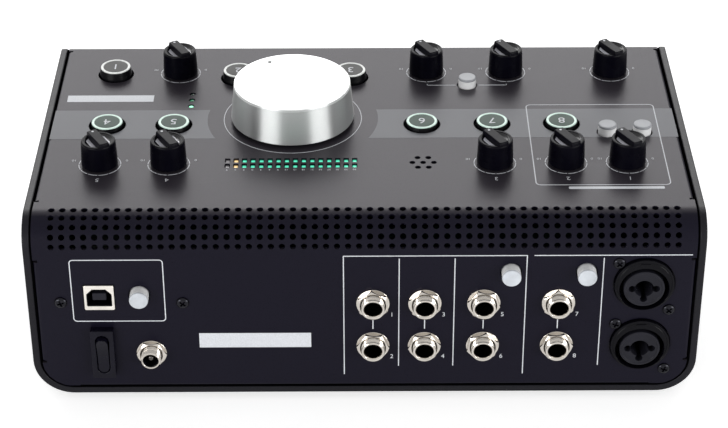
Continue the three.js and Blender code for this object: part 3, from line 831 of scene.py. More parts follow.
@dataclass(frozen=True)
class Glow:
    """A tinted lens with a lamp behind it; lenses in rows fade from their middles."""

    colour: Colour
    power: float
    rows: tuple[float, float, float, float] | None = None
    core: float = 0.3
    edge: float = 1.5
    brightest: float = 1.25
    faintest: float = 0.3

    def nearness(self, tree: Tree) -> bpy.types.NodeSocket:
        """How near a point is to the middle of its lens, from the rows' start and pitches.

        Args:
            tree: The material's tree.

        Returns:
            The share of the power at that point.
        """
        x0, y0, pitch_x, pitch_y = self.rows
        parts = tree.add("SeparateXYZ", {0: tree.where})
        squares = []
        for place, start, pitch in (
            (parts.outputs[0], x0, pitch_x), (parts.outputs[1], y0, pitch_y)
        ):
            off = tree.math("PINGPONG", tree.math("SUBTRACT", place, start * MM), pitch / 2 * MM)
            squares.append(tree.math("MULTIPLY", off, off))
        away = tree.math("SQRT", tree.math("ADD", *squares))
        return tree.ramp(away, self.core * MM, self.edge * MM, self.brightest, self.faintest)

    def build(self, name: str) -> bpy.types.Material:
        """Makes the material.

        Args:
            name: The material's name.

        Returns:
            The material.
        """
        tree = Tree(name)
        cloud = tree.noise(900.0, 2.0)
        tree.set(
            Base_Color=tree.tint(tree.spread(cloud, 0, 1), shade(self.colour, 0.8), self.colour),
            Roughness=0.25,
            Emission_Color=(*self.colour, 1),
            Emission_Strength=self.power,
        )
        if self.rows is not None:
            tree.set(Emission_Strength=tree.math("MULTIPLY", self.nearness(tree), self.power))
        tree.bump(cloud, 0.1, 0.05)
        return tree.material


@dataclass(frozen=True)
class Ink:
    """Screen-printed ink, slightly uneven."""

    colour: Colour
    roughness: float = 0.5

    def build(self, name: str) -> bpy.types.Material:
        """Makes the material.

        Args:
            name: The material's name.

        Returns:
            The material.
        """
        tree = Tree(name)
        weave = tree.noise(3200.0, 2.0)
        tree.set(
            Base_Color=tree.tint(
                tree.spread(weave, 0, 1), shade(self.colour, 0.86), shade(self.colour, 1.05)
            ),
            Roughness=tree.spread(weave, self.roughness - 0.05, self.roughness + 0.08),
        )
        tree.bump(weave, 0.2, 0.02)
        return tree.material


@dataclass(frozen=True)
class Laminate:
    """A circuit board: green solder mask over copper tracks."""

    mask: Colour = (0.003, 0.015, 0.009)
    track: Colour = (0.007, 0.034, 0.018)

    def build(self, name: str) -> bpy.types.Material:
        """Makes the material.

        Args:
            name: The material's name.

        Returns:
            The material.
        """
        tree = Tree(name)
        brick = tree.add("TexBrick", {
            "Vector": tree.where, "Scale": 220.0, "Color1": (0, 0, 0, 1), "Color2": (0, 0, 0, 1),
            "Mortar": (1, 1, 1, 1), "Mortar Size": 0.06,
        })
        cloud = tree.noise(300.0, 3.0)
        share = tree.math("MULTIPLY", brick.outputs[0], tree.spread(cloud, 0, 1))
        tree.set(Base_Color=tree.tint(share, self.mask, self.track), Roughness=0.35)
        tree.bump(share, 0.3, 0.05)
        return tree.material


@dataclass(frozen=True)
class MeterPlan:
    """The places of the level meter's lenses, in two rows."""

    middle: Point = spot("level_meter", Side.TOP)
    columns: int = 16
    pitch: float = 3.466
    row_pitch: float = 4.25

    def lens_x(self, column: int) -> float:
        """The place of a column of lenses, from the middle of the case."""
        return self.middle[0] + (column - (self.columns - 1) / 2) * self.pitch

    def lens_y(self, row: int) -> float:
        """The place of a row of lenses, from the rear plane."""
        return self.middle[1] + (row - 0.5) * self.row_pitch


METER = MeterPlan()
ROWS = (METER.lens_x(0), PLAN.rear_y + METER.lens_y(0), METER.pitch, METER.row_pitch)


class Finish(Enum):
    """The finishes of the object."""

    # The cover and the sheet darken, with less gloss, where they don't face up: painted shade.
    COVER = PowderCoat(
        (0.03, 0.029, 0.033), roughness=0.42, grain=0.8, cells=1500.0, reach=0.12, gloss=0.22,
        speck=0.4, aside=(0.008, 0.0077, 0.0105), gloss_aside=0.14,
    )
    SHEET = PowderCoat(
        (0.031, 0.0275, 0.0345), roughness=0.33, grain=0.5, gloss=0.175,
        aside=(0.0052, 0.0047, 0.0108), gloss_aside=0.1, sheen=(0.98, 0.945, 1.0),
    )
    BAND = PowderCoat((0.14, 0.143, 0.158), roughness=0.38, grain=0.4, gloss=0.2)
    KNOB = Moulded((0.0018, 0.0016, 0.004), 0.26, gloss=0.06)
    KNOB_BAR = Moulded((0.004, 0.0037, 0.0065), 0.3, gloss=0.06)
    KNOB_DISH = Moulded((0.003, 0.003, 0.005), 0.2, 0.03, 0.4)
    # A pale plate in each knob's dish: painted highlight.
    KNOB_SCOOP = Moulded((0.58, 0.58, 0.64), 0.25, 0.03, 0.5)
    BUTTON = Moulded((0.003, 0.003, 0.004), 0.25, 0.08, 0.2)
    # An unlit button's ring glows faintly with no lamp behind it: painted light.
    RING = Glow((0.72, 0.74, 0.72), 0.16)
    RING_LIT = Glow((0.55, 0.72, 0.64), 0.3)
    FACE = Moulded((0.06, 0.06, 0.058), 0.35, 0.05, 0.12)
    # The smoked face of a lit button, tinted green by painted light from the lamp behind it.
    FACE_LIT = Moulded((0.05, 0.085, 0.068), 0.35, 0.05, 0.12)
    CAP = Moulded((0.87, 0.88, 0.89), 0.3, 0.06, 0.3)
    # The same plastic as the rear caps, given a darker grey on the top: painted shade.
    CAP_TOP = Moulded((0.32, 0.33, 0.355), 0.3, 0.06, 0.35)
    CAP_REAR = Moulded((0.58, 0.61, 0.65), 0.3, 0.06, 0.3)
    NICKEL = Plated((0.64, 0.6, 0.55), 0.1)
    TIN = Plated()
    # A darkened copy of the plate for the pin deep in the supply socket: painted shade.
    BORE = Plated((0.1, 0.095, 0.09), 0.3)
    SOCKET = Moulded((0.002, 0.0019, 0.0034), 0.22, 0.06, 0.1)
    INSERT = Moulded((0.012, 0.012, 0.017), 0.3, 0.25, 0.14)
    ROCKER = Moulded((0.004, 0.0036, 0.0085), 0.24, 0.06, 0.14)
    SCREW = Plated((0.022, 0.022, 0.026), 0.12)
    # Flat black for the sheet in the cover's seam: painted shade.
    LINING = Moulded((0.001, 0.001, 0.0012), 0.9, 0.2, 0.0)
    RUBBER = Moulded((0.008, 0.008, 0.008), 0.85, 0.4, 0.2)
    PRINT = Ink((0.7, 0.72, 0.76))
    DARK = Ink((0.01, 0.01, 0.012))
    GREEN = Glow((0.08, 0.62, 0.4), 1.1, ROWS)
    GREEN_DIM = Glow((0.01, 0.2, 0.09), 0.3)
    GREEN_OFF = Moulded((0.004, 0.03, 0.016), 0.2, 0.05)
    GREEN_BRIGHT = Glow((0.35, 1.0, 0.62), 1.2)
    AMBER = Glow((0.8, 0.56, 0.26), 1.0, ROWS)
    CLEAR = Moulded((0.5, 0.48, 0.5), 0.25, 0.05)
    BOARD = Laminate()

    @property
    def material(self) -> bpy.types.Material:
        """The finish's material, made once.

        Returns:
            The material.
        """
        name = "finish_" + self.name.lower()
        found = bpy.data.materials.get(name)
        return found if found is not None else self.value.build(name)


def hand_over(
    obj: bpy.types.Object, name: str, finish: Finish | bpy.types.Material,
    replaces: Sequence[str] = (), body: str = Body.CASE.value,
) -> None:
    """Names and dresses a finished piece and sets it on its body.

    Args:
        obj: The piece, with its place in its mesh.
        name: Its name.
        finish: Its finish, or its own material.
        replaces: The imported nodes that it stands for.
        body: The body that it rides on.
    """
    obj.name = name
    obj.data.name = name
    obj.data.materials.clear()
    obj.data.materials.append(finish.material if isinstance(finish, Finish) else finish)
    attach(obj, body)
    if replaces:
        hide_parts(*replaces)
    LOG.info("made %s: %d faces", name, len(obj.data.polygons))


# Case


@dataclass
class OuterCover:
    """The U-shaped cover: a sheet bent up at both sides and cut to the case's outline.

    A black sheet in the seam between it and the folded sheet stands in for the shade there: painted
    shade.
    """

    ease: float = 0.6
    seen_wall: float = 2.9
    lining: float = 0.76
    lining_inset: float = 0.4

    def bent(self, inset: float, thickness: float, cut: float) -> bpy.types.Object:
        """Bends a sheet up at both sides.

        Args:
            inset: How far its outer face lies inside the cover's.
            thickness: The sheet's thickness.
            cut: How far its ends lie inside the case's outline.

        Returns:
            The sheet.
        """
        half, foot, over = PLAN.width / 2 - inset, PLAN.foot + inset, 2.0
        front = PLAN.rear_y + PLAN.depth
        shell = slab((-half, PLAN.rear_y - over, foot), (half, front + over, PLAN.top_z + over))
        lengthwise: Test = lambda c, along: c.z < foot + NEAR and abs(along.y) > ALONG
        rolled(shell, PLAN.bend - inset, 16, lengthwise)
        pruned(shell, "FACE", lambda c, n: n.z > ALONG or abs(n.y) > ALONG, "FACE")
        fitted(shell, "SOLIDIFY", thickness=thickness * MM, offset=-1, use_even_offset=True)
        low = (-half - over, PLAN.rear_y + cut, foot - over)
        high = (half + over, front - cut, PLAN.top_z - cut)
        outline = slab(low, high)
        crosswise: Test = lambda c, along: c.z > high[2] - NEAR and abs(along.x) > ALONG
        rear: Test = lambda c, along: c.y < low[1] + NEAR and crosswise(c, along)
        fore: Test = lambda c, along: c.y > high[1] - NEAR and crosswise(c, along)
        rolled(outline, PLAN.vent - cut, 28, rear)
        rolled(outline, max(PLAN.front_fold - cut, 0.3), 6, fore)
        return carved(shell, outline, operation="INTERSECT")

    def build(self) -> None:
        """Bends the cover, rounds its rims, and puts a black sheet in its seam as painted shade."""
        shell = smooth(eased(self.bent(0, self.seen_wall, 0), self.ease, 4, 50), 35)
        hand_over(shell, "cover_shell", Finish.COVER, ["outer_cover"])
        # A black sheet inside the cover, showing in the seam: painted shade.
        lining = smooth(self.bent(self.seen_wall - 0.02, self.lining, self.lining_inset), 35)
        hand_over(lining, "cover_seam_shade_sheet", Finish.LINING)


@dataclass
class VentBend:
    """The perforated bend between the rear panel and the top."""

    rows: int = 5
    columns: int = 58
    pitch: float = 4.34
    row_pitch: float = 4.1
    hole: float = 1.25
    points: int = 6
    margin_steps: int = 4
    rim: float = 0.1

    @property
    def arc(self) -> float:
        """Length of the bend along its outer face."""
        return PLAN.vent * math.pi / 2

    @property
    def length(self) -> float:
        """Length of the whole strip, with the flat margins at both ends."""
        return self.arc + 2 * PLAN.vent_margin

    @property
    def low(self) -> float:
        """Where the rows start, from the strip's lower end."""
        return (self.length - self.rows * self.row_pitch) / 2

    def cell(self) -> bpy.types.Object:
        """One flat cell: a rectangle bridged to a round hole.

        Returns:
            The cell.
        """
        clear()
        bpy.ops.mesh.primitive_circle_add(vertices=self.points * 4, radius=self.hole * MM)
        ring = settle(bpy.context.object)
        bpy.ops.mesh.primitive_grid_add(
            x_subdivisions=self.points, y_subdivisions=self.points, size=1
        )
        frame = bpy.context.object
        frame.scale = (self.pitch * MM, self.row_pitch * MM, 1)
        settle(frame)
        pruned(frame, "FACE", lambda c, n: True, "ONLY_FACE")
        half_x, half_y = self.pitch / 2 - NEAR, self.row_pitch / 2 - NEAR
        pruned(frame, "VERT", lambda c, n: abs(c.x) < half_x and abs(c.y) < half_y, "VERT")
        cell = joined(frame, ring)
        edit(cell, "EDGE")
        bpy.ops.mesh.bridge_edge_loops()
        bpy.ops.object.mode_set(mode="OBJECT")
        return cell

    def field(self) -> bpy.types.Object:
        """All the cells, repeated across and up.

        Returns:
            The field, in its place on the flat strip.
        """
        cell = self.cell()
        steps = ((self.columns, (self.pitch * MM, 0, 0)), (self.rows, (0, self.row_pitch * MM, 0)))
        for count, step in steps:
            fitted(
                cell, "ARRAY", count=count, use_relative_offset=False, use_constant_offset=True,
                constant_offset_displace=step, use_merge_vertices=True, merge_threshold=STRIP_MERGE,
            )
        across = -(self.columns - 1) / 2 * self.pitch
        return moved(cell, shift(across, self.low + self.row_pitch / 2, 0))

    def margins(self) -> list[bpy.types.Object]:
        """The plain strips round the field, flat, with points where they meet it.

        Returns:
            The strips.
        """
        half = self.columns * self.pitch / 2
        side = PLAN.sheet_half
        low, high, end = self.low, self.length - self.low, self.length
        columns, rows, few = self.columns * self.points, self.rows * self.points, self.margin_steps
        return [
            self.strip(-half, half, 0, low, columns, few),
            self.strip(-half, half, high, end, columns, few),
            *[
                self.strip(x0, x1, y0, y1, 1, steps)
                for x0, x1 in ((-side, -half), (half, side))
                for y0, y1, steps in ((0, low, few), (low, high, rows), (high, end, few))
            ],
        ]

    @staticmethod
    def strip(
        x0: float, x1: float, y0: float, y1: float, columns: int, rows: int
    ) -> bpy.types.Object:
        """A flat grid between two corners.

        Args:
            x0: The left side.
            x1: The right side.
            y0: The lower side.
            y1: The upper side.
            columns: Faces across.
            rows: Faces up.

        Returns:
            The grid.
        """
        clear()
        bpy.ops.mesh.primitive_grid_add(
            x_subdivisions=columns, y_subdivisions=rows, size=1,
            location=((x0 + x1) / 2 * MM, (y0 + y1) / 2 * MM, 0),
        )
        grid = bpy.context.object
        grid.scale = ((x1 - x0) * MM, (y1 - y0) * MM, 1)
        return settle(grid)

    def build(self) -> None:
        """Thickens the flat sheet and rolls it round the bend."""
        sheet = close_up(joined(self.field(), *self.margins()), STRIP_MERGE)
        if sum(face.normal.z for face in sheet.data.polygons) < 0:
            sheet.data.flip_normals()
        fitted(sheet, "SOLIDIFY", thickness=PLAN.sheet * MM, offset=-1)
        eased_but(sheet, self.rim, self.outside, 1)
        self.roll(sheet)
        smooth(close_up(sheet), 30)
        hand_over(sheet, "vent_sheet", Finish.SHEET, ["vent_bend"])

    def outside(self, centre: Vector) -> bool:
        """Whether an edge lies under the flat sheet's outer face or beyond its holes.

        Args:
            centre: The edge's centre in millimetres.

        Returns:
            True where the edge stays sharp.
        """
        half, end, near = self.columns * self.pitch / 2, self.length - self.low, NEAR / 2
        beyond = abs(centre.x) > half - near or not self.low + near < centre.y < end - near
        return centre.z < -NEAR or beyond

    def roll(self, sheet: bpy.types.Object) -> None:
        """Rolls the flat sheet round the bend.

        Args:
            sheet: The flat sheet, with its outer face up.
        """
        radius = PLAN.vent * MM
        for vertex in sheet.data.vertices:
            along = vertex.co.y - PLAN.vent_margin * MM
            round_part = min(max(along, 0.0), self.arc * MM)
            beyond, reach = along - round_part, radius + vertex.co.z
            sine, cosine = math.sin(round_part / radius), math.cos(round_part / radius)
            vertex.co.y = PLAN.rear_y * MM + radius - reach * cosine + beyond * sine
            vertex.co.z = PLAN.top_z * MM - radius + reach * sine + beyond * cosine


@dataclass
class FoldedSheet:
    """The top and rear panels: their holes drilled round and their edges eased."""

    edge: float = 0.22
    foot_gap: float = 0.3
    button_hole: float = 7.78
    push_hole: float = 4.38
    mic_hole: float = 1.22
    lamp_hole: float = 1.35
    combo_hole: float = 12.4

    def build(self) -> None:
        """Dresses the top and rear panels."""
        top, end = from_node("top_panel"), PLAN.rear_y + PLAN.vent + PLAN.vent_margin
        carved(
            top,
            *self.drills(Side.TOP, self.button_hole, 64, BUTTONS.values()),
            *self.drills(Side.TOP, self.push_hole, 48, TOP_PUSHES.values()),
            *self.drills(Side.TOP, self.mic_hole, 24, mic_holes()),
            *self.drills(Side.TOP, self.lamp_hole, 24, LAMPS),
        )
        eased_but(top, self.edge, lambda c: c.y < end + NEAR / 2)
        hand_over(smooth(top, 32), "top_sheet", Finish.SHEET, ["top_panel"])
        rear, high = from_node("rear_panel"), PLAN.top_z - PLAN.vent - PLAN.vent_margin
        carved(
            rear,
            *self.drills(Side.REAR, self.push_hole, 48, REAR_PUSHES.values()),
            *self.drills(Side.REAR, self.combo_hole, 96, COMBOS),
        )
        lowest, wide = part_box("rear_panel")[0].z / MM, 150
        low_end = (-wide, PLAN.rear_y - 1, lowest - 1)
        carved(rear, slab(low_end, (wide, PLAN.rear_y + 5, lowest + self.foot_gap)))
        eased_but(rear, self.edge, lambda c: c.z > high - NEAR / 2)
        hand_over(smooth(rear, 32), "rear_sheet", Finish.SHEET, ["rear_panel"])

    @staticmethod
    def drills(
        side: Side, radius: float, sides: int, places: Iterable[Point],
    ) -> list[bpy.types.Object]:
        """Round drills that stand through a panel."""
        rings = [(radius, -3), (radius, 2)]
        return [moved(turned(rings, sides), PLAN.stand(side, *place)) for place in places]


KNOBS: dict[str, Point] = {
    node: spot(node, Side.TOP) for node in (
        "talkback_knob", "phones_1_knob", "phones_2_knob", "blend_knob", "trim_b_knob",
        "trim_a_knob",
        "line_gain_knob", "gain_2_knob", "gain_1_knob",
    )
}
VOLUME: Point = spot("volume_knob", Side.TOP)
LATCHED = (
    "monitor_b_button", "monitor_a_button", "usb_source_button", "line_source_button",
    "mic_source_button"
)
BUTTONS: dict[str, Point] = {
    node: spot(node, Side.TOP) for node in ("cue_button", "dim_button", "mono_button", *LATCHED)
}
TOP_PUSHES: dict[str, Point] = {
    node: spot(node, Side.TOP) for node in ("phones_link_push", "phantom_push", "mono_input_push")
}
REAR_PUSHES: dict[str, Point] = {
    node: spot(node, Side.REAR) for node in ("record_source_push", "level_a_push", "level_b_push")
}
LAMPS: list[Point] = [(-73.63, 98.91 + step * 5.2) for step in (-1, 0, 1)]
MIC: Point = (24.14, 46.21)
JACKS: dict[str, Point] = {
    f"{name}_{side}": spot(f"{name}_{side}_jack", Side.REAR)
    for name in ("monitor_b", "monitor_a", "two_track", "stereo") for side in ("left", "right")
}
FRONT_JACKS: dict[str, Point] = {
    name: spot(f"{name}_jack", Side.FRONT) for name in ("front_phones_1", "front_phones_2")
}
NUT_TURNS: dict[str, float] = {
    name: share * 60 for name, share in zip(
        [*JACKS, *FRONT_JACKS], (0.1, 0.46, 0.2, 0.62, 0.35, 0.8, 0.05, 0.55, 0.3, 0.7)
    )
}
COMBOS: list[Point] = [spot(f"input_{count}_socket", Side.REAR) for count in (1, 2)]
USB: Point = spot("usb_socket", Side.REAR)
SUPPLY: Point = spot("supply_socket", Side.REAR)


def mic_holes() -> list[Point]:
    """One hole in the middle and six round it.

    Returns:
        Their places on the top.
    """
    x, y = MIC
    return [(x, y), *[
        (
            x + 4.4 * math.cos(math.radians(a)), y + 4.4 * math.sin(math.radians(a))
        ) for a in range(0, 360, 60)
    ]]


# Controls


@dataclass
class RotaryKnob:
    """A black pointer knob: a tapered barrel dished on both sides of its bar."""

    foot: float = 0.7
    rim: float = 11.6
    bar_top: float = 13.1
    base_radius: float = 7.5
    rim_radius: float = 6.95
    bar_width: float = 4.0
    scoop_width: float = 2.1
    turn: float = 120.0
    sides: int = 72

    def barrel(self) -> bpy.types.Object:
        """The barrel, its dish and its shaft.

        Returns:
            The barrel, on its own axis.
        """
        r, z = self.rim_radius, self.rim
        return smooth(turned([
            (3.0, -9.0), (3.0, self.foot), (self.base_radius - 0.3, self.foot),
            (self.base_radius, self.foot + 0.3), (self.base_radius - 0.06, self.foot + 1.6),
            (r + 0.12, z - 0.9), (r + 0.02, z - 0.35), (r - 0.14, z - 0.1), (r - 0.4, z),
            (r - 1.05, z), (r - 1.2, z - 0.06), (r - 1.28, z - 0.25), (r - 1.7, z - 1.4),
            (r - 2.6, z - 2.3), (0.4, z - 2.7),
        ], self.sides), 40)

    def dish(self) -> bpy.types.Object:
        """The polished dish inside the rim.

        Returns:
            The dish, on its own axis.
        """
        r, z = self.rim_radius, self.rim
        return smooth(turned([
            (r - 1.9, z - 2.3), (r - 1.32, z - 0.4), (r - 1.3, z - 0.18), (r - 1.4, z - 0.2),
            (r - 1.7, z - 0.6), (r - 2.3, z - 0.95), (r - 3.2, z - 1.12), (r - 4.6, z - 1.2),
            (0.4, z - 1.22),
        ], self.sides), 60)

    def scoop(self) -> bpy.types.Object:
        """A pale floor in the dish, along both sides of the bar: a painted highlight.

        Returns:
            The floor, on its own axis.
        """
        r, z = self.rim_radius, self.rim
        floor = turned([
            (r - 2.05, z - 1.6), (r - 2.05, z - 0.8), (r - 2.3, z - 0.9), (r - 3.2, z - 1.07),
            (r - 4.6, z - 1.15), (0.4, z - 1.17),
        ], self.sides)
        reach = self.bar_width / 2 + self.scoop_width
        carved(floor, slab((-r, -reach, z - 2), (r, reach, z)), operation="INTERSECT")
        return smooth(floor, 60)

    def bar(self) -> bpy.types.Object:
        """The bar across the top, rounded off where it meets the barrel's side.

        Returns:
            The bar, along X.
        """
        r, half = self.rim_radius, self.bar_width / 2
        bar = slab((-r - 1, -half, self.rim - 3), (r + 1, half, self.bar_top))
        pick(bar, "FACE", lambda c, n: n.z < -ALONG)
        bpy.ops.transform.resize(value=(1, 1.35, 1), center_override=(0, 0, 0))
        bpy.ops.object.mode_set(mode="OBJECT")
        envelope = turned([
            (r - 0.1, self.rim - 4), (r - 0.04, self.rim - 0.3), (r - 0.22, self.bar_top - 0.5),
            (r - 0.5, self.bar_top + 0.1),
        ], self.sides)
        carved(bar, envelope, operation="INTERSECT")
        eased(bar, 0.28, 3, 50)
        return smooth(bar, 35)

    def dot(self) -> bpy.types.Object:
        """The pointer's dot, at the end of the bar.

        Returns:
            The dot, on the bar along X.
        """
        z = self.bar_top
        dot = turned([(0.52, z - 0.1), (0.52, z + 0.03), (0.42, z + 0.05)], 24)
        return moved(dot, shift(self.rim_radius - 1.9, 0, 0))

    def build(self) -> None:
        """Makes one knob and sets a copy on each control."""
        parts = (
            ("barrel", self.barrel(), Finish.KNOB), ("dish", self.dish(), Finish.KNOB_DISH),
            # The pale floor beside the bar is a painted highlight.
            ("scoop", self.scoop(), Finish.KNOB_SCOOP), ("bar", self.bar(), Finish.KNOB_BAR),
            ("dot", self.dot(), Finish.PRINT),
        )
        for node, (x, y) in KNOBS.items():
            place = PLAN.stand(Side.TOP, x, y) @ spin_z(self.turn)
            for part, master, finish in parts:
                stood_for = [node] if part == "barrel" else []
                name, body = f"{node}_{part}", node + "_body"
                hand_over(copied(master, place), name, finish, stood_for, body)
        put_away(*[master for _, master, _ in parts])


@dataclass
class VolumeKnob:
    """The large turned knob, floating over a stepped-in skirt."""

    foot: float = 0.8
    top: float = 17.7
    base_radius: float = 25.9
    top_radius: float = 24.4
    dimple: float = 19.8
    turn: float = 120.0

    def build(self) -> None:
        """Turns the knob and drills its pointer dimple."""
        r, low, rim, z = self.base_radius, self.foot + 0.9, self.top_radius, self.top
        knob = turned([
            (3.0, -9.0), (3.0, low - 0.3), (r - 1.3, low - 0.3), (r - 1.2, low), (r - 0.25, low),
            (r - 0.06, low + 0.06), (r, low + 0.25), (rim + 0.06, z - 1.0), (rim - 0.14, z - 0.86),
            (rim - 0.14, z - 0.74), (rim + 0.03, z - 0.6), (rim - 0.02, z - 0.42),
            (rim - 0.14, z - 0.2), (rim - 0.34, z - 0.05), (rim - 0.6, z), (rim - 1.2, z),
        ], 160)
        drill = turned([(0.9, z - 0.5), (1.05, z + 1)], 32)
        carved(knob, moved(drill, shift(self.dimple, 0, 0)))
        smooth(knob, 28)
        place = PLAN.stand(Side.TOP, *VOLUME) @ spin_z(self.turn)
        skirt = turned([
            (r - 1.1, self.foot), (r - 0.95, self.foot + 0.15), (r - 0.95, low), (r - 1.4, low),
        ], 120)
        finish = SatinTurned((VOLUME[0], VOLUME[1] + PLAN.rear_y)).build("turned_aluminium")
        body = "volume_knob_body"
        hand_over(
            moved(knob, place), "volume_knob_cap", finish, ["volume_knob"], body
        )
        skirt = moved(smooth(skirt), place)
        hand_over(skirt, "volume_knob_skirt", Finish.KNOB, body=body)
        dot = turned([(0.86, z - 0.48), (0.86, z - 0.4)], 24)
        moved(dot, place @ shift(self.dimple, 0, 0))
        hand_over(dot, "volume_knob_dot", Finish.DARK, body=body)


@dataclass
class RoundButton:
    """A round button: black cap, translucent ring and smoked face."""

    proud: float = 4.0
    latched: float = 1.8
    top_radius: float = 6.45
    ring: float = 1.1

    def cap(self) -> bpy.types.Object:
        """The black cap with its flared wall and plunger.

        Returns:
            The cap, at its free height.
        """
        p, r = self.proud, self.top_radius
        return smooth(turned([
            (1.8, -7.6), (1.8, -3.0), (6.9, -3.0), (7.08, -2.7), (7.08, p - 3.5), (6.95, p - 3.0),
            (r + 0.18, p - 0.7), (r + 0.06, p - 0.35), (r - 0.02, p - 0.3),
        ], 64), 35)

    def band(self) -> bpy.types.Object:
        """The translucent ring, rounded over the cap's edge.

        Returns:
            The ring, at its free height.
        """
        p, r, w = self.proud, self.top_radius, self.ring
        return smooth(turned([
            (r, p - 0.45), (r, p - 0.2), (r - 0.12, p - 0.05), (r - 0.3, p), (r - w + 0.12, p),
            (r - w, p - 0.06), (r - w, p - 0.45),
        ], 64, hollow=True), 40)

    def face(self) -> bpy.types.Object:
        """The smoked face, slightly domed, inside the ring.

        Returns:
            The face, at its free height.
        """
        p, r = self.proud, self.top_radius - self.ring
        return smooth(turned([
            (r, p - 0.45), (r, p - 0.2), (r - 0.1, p - 0.14), (r * 0.6, p - 0.1),
            (r * 0.2, p - 0.085),
        ], 64), 40)

    def number(self, count: int, place: Matrix) -> bpy.types.Object:
        """A button's plain number, read from the user's side."""
        return moved(figure(str(count), 4.6, self.proud - 0.1, 0.1), place @ spin_z(180))

    def build(self) -> None:
        """Makes one button and sets a copy at each place, with a plain number on its face."""
        cap, band, face = self.cap(), self.band(), self.face()
        for count, (node, (x, y)) in enumerate(BUTTONS.items(), 1):
            lit = node in LATCHED
            place = PLAN.stand(Side.TOP, x, y, self.latched - self.proud if lit else 0)
            body = node + "_body"
            # An unlit button's ring glows faintly as painted light, and a lit button's face is
            # painted green as glow from its lamp.
            ring, disc = (Finish.RING_LIT, Finish.FACE_LIT) if lit else (Finish.RING, Finish.FACE)
            for part, piece, finish, stood_for in (
                ("cap", copied(cap, place), Finish.BUTTON, [node]),
                ("ring", copied(band, place), ring, []), ("face", copied(face, place), disc, []),
                ("number", self.number(count, place), Finish.PRINT, []),
            ):
                hand_over(piece, f"{node}_{part}", finish, stood_for, body)
        put_away(cap, band, face)


@dataclass
class PushButton:
    """A small push button: a white collar and a grey cap with a rounded face."""

    radius: float = 3.8
    top_proud: float = 4.1
    rear_proud: float = 4.5
    cap_height: float = 1.05

    def collar(self, proud: float) -> bpy.types.Object:
        """The collar and its plunger.

        Args:
            proud: How far the cap stands out of its panel.

        Returns:
            The collar.
        """
        r, z = self.radius, proud - self.cap_height
        return smooth(turned([
            (1.8, -7.6), (1.8, -3.2), (r - 0.15, -3.2), (r, -3.0), (r, z - 0.22),
            (r - 0.06, z - 0.1), (r - 0.3, z - 0.06), (r - 0.34, z + 0.1), (0.5, z + 0.1),
        ], 48), 50)

    def cap(self, proud: float) -> bpy.types.Object:
        """The cap, with a groove under it.

        Args:
            proud: How far the cap stands out of its panel.

        Returns:
            The cap.
        """
        r, z = self.radius, proud - self.cap_height
        return smooth(turned([
            (r - 0.4, z), (r - 0.3, z + 0.1), (r - 0.06, z + 0.12), (r, z + 0.22), (r, proud - 0.5),
            (r - 0.07, proud - 0.28), (r - 0.2, proud - 0.12), (r - 0.42, proud - 0.02),
            (r - 0.7, proud), (r * 0.45, proud - 0.04), (0.5, proud - 0.06),
        ], 48), 50)

    def build(self) -> None:
        """Sets the push buttons on the top and the rear."""
        for places, side, proud, finish in (
            # The top caps take a darker grey than the rear caps of the same plastic: painted shade.
            (TOP_PUSHES, Side.TOP, self.top_proud, Finish.CAP_TOP),
            (REAR_PUSHES, Side.REAR, self.rear_proud, Finish.CAP_REAR),
        ):
            collar, cap = self.collar(proud), self.cap(proud)
            for node, (x, across) in places.items():
                place, body = PLAN.stand(side, x, across), node + "_body"
                sleeve = copied(collar, place)
                hand_over(sleeve, node + "_collar", Finish.CAP, [node], body)
                hand_over(copied(cap, place), node + "_cap", finish, body=body)
            put_away(collar, cap)


@dataclass
class Lamps:
    """The level meter's lenses and the three status lamps."""

    lens_x: float = 1.65
    lens_y: float = 3.2
    lens_ends: Point = (-2.6, -0.75)
    block_ends: Point = (-12.0, -1.8)

    def lens(self, column: int, row: int) -> bpy.types.Object:
        """One meter lens, low in its window.

        Args:
            column: Its column, counted from the left.
            row: Its row, 0 or 1.

        Returns:
            The lens in its place.
        """
        half_x, half_y, (low, high) = self.lens_x / 2, self.lens_y / 2, self.lens_ends
        block = eased(slab((-half_x, -half_y, low), (half_x, half_y, high)), 0.22)
        return moved(block, PLAN.stand(Side.TOP, METER.lens_x(column), METER.lens_y(row)))

    def build(self) -> None:
        """Makes the light block, its lenses and the lamps."""
        half_x, half_y = METER.columns * METER.pitch / 2, METER.row_pitch
        low, high = self.block_ends
        block = slab((-half_x, -half_y, low), (half_x, half_y, high))
        eased(moved(block, PLAN.stand(Side.TOP, *METER.middle)), 0.2)
        hand_over(block, "meter_block", Finish.BUTTON, ["level_meter"])
        for name, finish, columns in (
            ("meter_clear", Finish.CLEAR, range(0, 1)), ("meter_amber", Finish.AMBER, range(1, 2)),
            ("meter_green", Finish.GREEN, range(2, METER.columns)),
        ):
            lenses = joined(*[self.lens(column, row) for column in columns for row in (0, 1)])
            hand_over(smooth(lenses), name, finish)
        dome = smooth(turned([
            (1.1, -1.6), (1.1, -0.7), (0.95, -0.42), (0.6, -0.22), (0.15, -0.12),
        ], 24), 60)
        states = (Finish.GREEN_BRIGHT, Finish.GREEN_DIM, Finish.GREEN_OFF)
        for place, name, finish in zip(LAMPS, ("power", "middle", "far"), states):
            lens = copied(dome, PLAN.stand(Side.TOP, *place))
            hand_over(lens, f"{name}_lamp", finish)
        put_away(dome)


# Sockets


